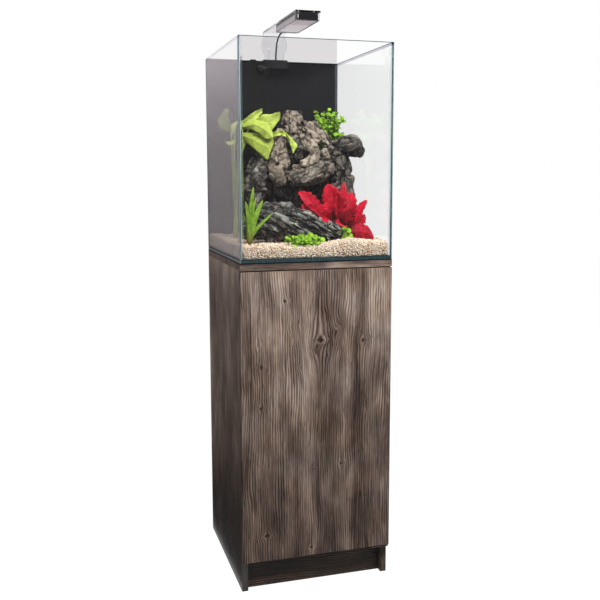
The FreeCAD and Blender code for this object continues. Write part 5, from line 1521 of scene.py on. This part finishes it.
red_controls, red_widths, red_facing = (np.array(column, float) for column in zip(*RED_LEAVES))
red_feet = np.array(RED_ROOT) + leaf_draws.uniform(-4, 4, (len(RED_LEAVES), 3)) * (1, 1, 0)
red_starts = red_controls[:, 0]
red_stems = np.stack([red_feet, red_feet + (0, 0, 20), red_starts - (0, 0, 10), red_starts], 1)
red_stems = np.concatenate([red_stems, [LOW_STEM]])
# the dark foot is painted shade at the root, where the leaves overlap
red_finish = leaf_finish("red_leaf", foot=srgb(84, 2, 18), dark=srgb(108, 0, 22), light=srgb(220, 10, 48),
                         tip=srgb(206, 14, 46), vein=srgb(222, 60, 78), vein_count=6)
plant("red_leaves", "red_plant", "leaf_red", red_finish,
      blades(red_controls, red_widths, red_facing, leaf_draws, profile=(0.6, 0.75), fold=0.3, ruffle=0.18,
             thick=0.6, rows=40, across=11, scallop=0.1),
      outlined(LOW_LEAVES, leaf_draws, thick=0.6, ruffle=4.0, rows=34, across=11),
      stems(red_stems, leaf_draws, radii=(1.8, 1.2), rows=10, columns=8))

# %% [markdown]
# ## The grass and the small-leaved plants
# Strap leaves stand in the front left corner. The bush behind the rock and the carpet in front are made of
# hundreds of round leaflets on thin stems, so each leaflet has only a few faces, and seeded draws place them.

# %% Grass
# x, y, z of the tip and half width in mm
GRASS_TIPS = [(-160, -201, 1044, 7), (-138, -204, 1011, 8.5), (-113, -205, 979, 4.6), (-181, -203, 1010, 5),
              (-152, -190, 1018, 4), (-184, -190, 978, 3.6), (-146, -186, 950, 3), (-172, -184, 1002, 4)]
GRASS_ROOT = (-170, -197, 901)
GRASS_WAY = (-0.3, -1.0, 0.25)
grass_tips, grass_widths = np.array(GRASS_TIPS)[:, :3], np.array(GRASS_TIPS)[:, 3]
grass_feet = np.array(GRASS_ROOT) + leaf_draws.uniform(-3, 3, (len(GRASS_TIPS), 3)) * (1, 1, 0)
grass_rise = (grass_tips - grass_feet)[:, 2:] * np.array([0, 0, 1])
grass_controls = np.stack([grass_feet, grass_feet + 0.4 * grass_rise,
                           0.4 * grass_feet + 0.6 * grass_tips + 0.12 * grass_rise, grass_tips], 1)
grass_facing = [GRASS_WAY] * len(GRASS_TIPS)
grass_finish = leaf_finish("grass_leaf", foot=srgb(96, 70, 24), dark=srgb(80, 116, 24),
                           light=srgb(134, 172, 44), tip=srgb(150, 188, 60), vein=srgb(188, 212, 90),
                           vein_count=2)
plant("grass", "grass_plant", "leaf_grass", grass_finish,
      blades(grass_controls, grass_widths, grass_facing, leaf_draws, profile=(0.25, 0.55), fold=0.3,
             ruffle=0.03, thick=0.5, rows=20, across=7))


# %% Bush
def leaflets(centres, outward, length, half_width, facing, draws):
    """Small round leaves: midribs of the length start at the centres and run outward, rising and then
    drooping."""
    reach = length[:, None] * unit(outward)
    drop = np.array([0, 0, 1]) * (0.22 * length)[:, None]
    controls = np.stack([centres, centres + 0.35 * reach + 0.6 * drop, centres + 0.7 * reach + 0.6 * drop,
                         centres + reach - 0.4 * drop], 1)
    facing = np.array(facing) + draws.normal(0, 0.25, centres.shape)
    return blades(controls, half_width, facing, draws, profile=(0.45, 0.45), fold=0.15, ruffle=0.04,
                  thick=0.25, rows=6, across=4)


small_draws = np.random.default_rng(31)
BUSH_STEMS, LEAVES_PER_STEM = 40, 9
STEM_ROWS, FIRST_LEAF_ROW = 60, 49
BUSH_ROOT, BUSH_NECK, BEND_HEIGHT = (132, 100, 900), (134, 96, 1120), 1040
CROWN_LOW, CROWN_HIGH = (92, 62, 1166), (170, 124, 1256)
bush_foot = np.array(BUSH_ROOT) + small_draws.uniform(-5, 5, (BUSH_STEMS, 3)) * (1, 1, 0)
bush_tip = small_draws.uniform(CROWN_LOW, CROWN_HIGH, (BUSH_STEMS, 3))
bush_neck = np.array(BUSH_NECK) + small_draws.uniform(-9, 9, (BUSH_STEMS, 3))
bush_controls = np.stack([bush_foot, bush_foot * (1, 1, 0) + (0, 0, BEND_HEIGHT), bush_neck, bush_tip], 1)
bush_paths = bezier(bush_controls, STEM_ROWS)
picks = small_draws.integers(FIRST_LEAF_ROW, STEM_ROWS, (BUSH_STEMS, LEAVES_PER_STEM))
bush_centres = np.take_along_axis(bush_paths, picks[..., None], 1).reshape(-1, 3)
bush_out = small_draws.normal(0, 1, bush_centres.shape) * (1, 1, 0.5) + (0, -0.2, 0.25)
bush_size = small_draws.uniform(10, 16, len(bush_centres))
# the dark foot is painted shade deep inside the bush and the carpet
small_finish = leaf_finish("small_leaf", foot=srgb(30, 64, 8), dark=srgb(76, 132, 14),
                           light=srgb(164, 212, 50), tip=srgb(168, 212, 64), vein=srgb(188, 222, 96),
                           vein_count=2)
plant("bush", "bush_plant", "leaf_bright_green", small_finish,
      leaflets(bush_centres, bush_out, bush_size, 0.46 * bush_size, (0, -0.7, 0.8), small_draws),
      stems(bush_controls, small_draws, radii=(1.0, 0.5), rows=16, columns=5))

# %% Carpet
# x, y, half size along x and y in mm, number of leaflets
CARPETS = [(-30, -203, 42, 9, 74), (90, -172, 13, 9, 20)]
carpet_feet = np.concatenate([np.column_stack([
    at_x + half_x * np.clip(small_draws.normal(0, 0.45, count), -1, 1),
    at_y + half_y * small_draws.uniform(-1, 1, count)]) for at_x, at_y, half_x, half_y, count in CARPETS])
carpet_floor = bed_height(*carpet_feet.T)
carpet_top = carpet_floor + small_draws.uniform(3, 24, len(carpet_feet))
carpet_centres = np.column_stack([carpet_feet, carpet_top])
carpet_out = small_draws.normal(0, 1, carpet_centres.shape) * (1, 0.3, 0.7) + (0, -0.2, 0.1)
carpet_size = small_draws.uniform(11, 16, len(carpet_feet))
carpet_low = np.column_stack([carpet_feet + small_draws.uniform(-3, 3, carpet_feet.shape), carpet_floor - 2])
carpet_stems = np.stack([carpet_low, 0.66 * carpet_low + 0.34 * carpet_centres,
                         0.34 * carpet_low + 0.66 * carpet_centres + (0, 0, 2), carpet_centres], 1)
plant("carpet", "carpet_plants", "leaf_bright_green", small_finish,
      leaflets(carpet_centres, carpet_out, carpet_size, 0.5 * carpet_size, (-0.2, -1.0, 0.7), small_draws),
      stems(carpet_stems, small_draws, radii=(0.8, 0.6), rows=5, columns=5))
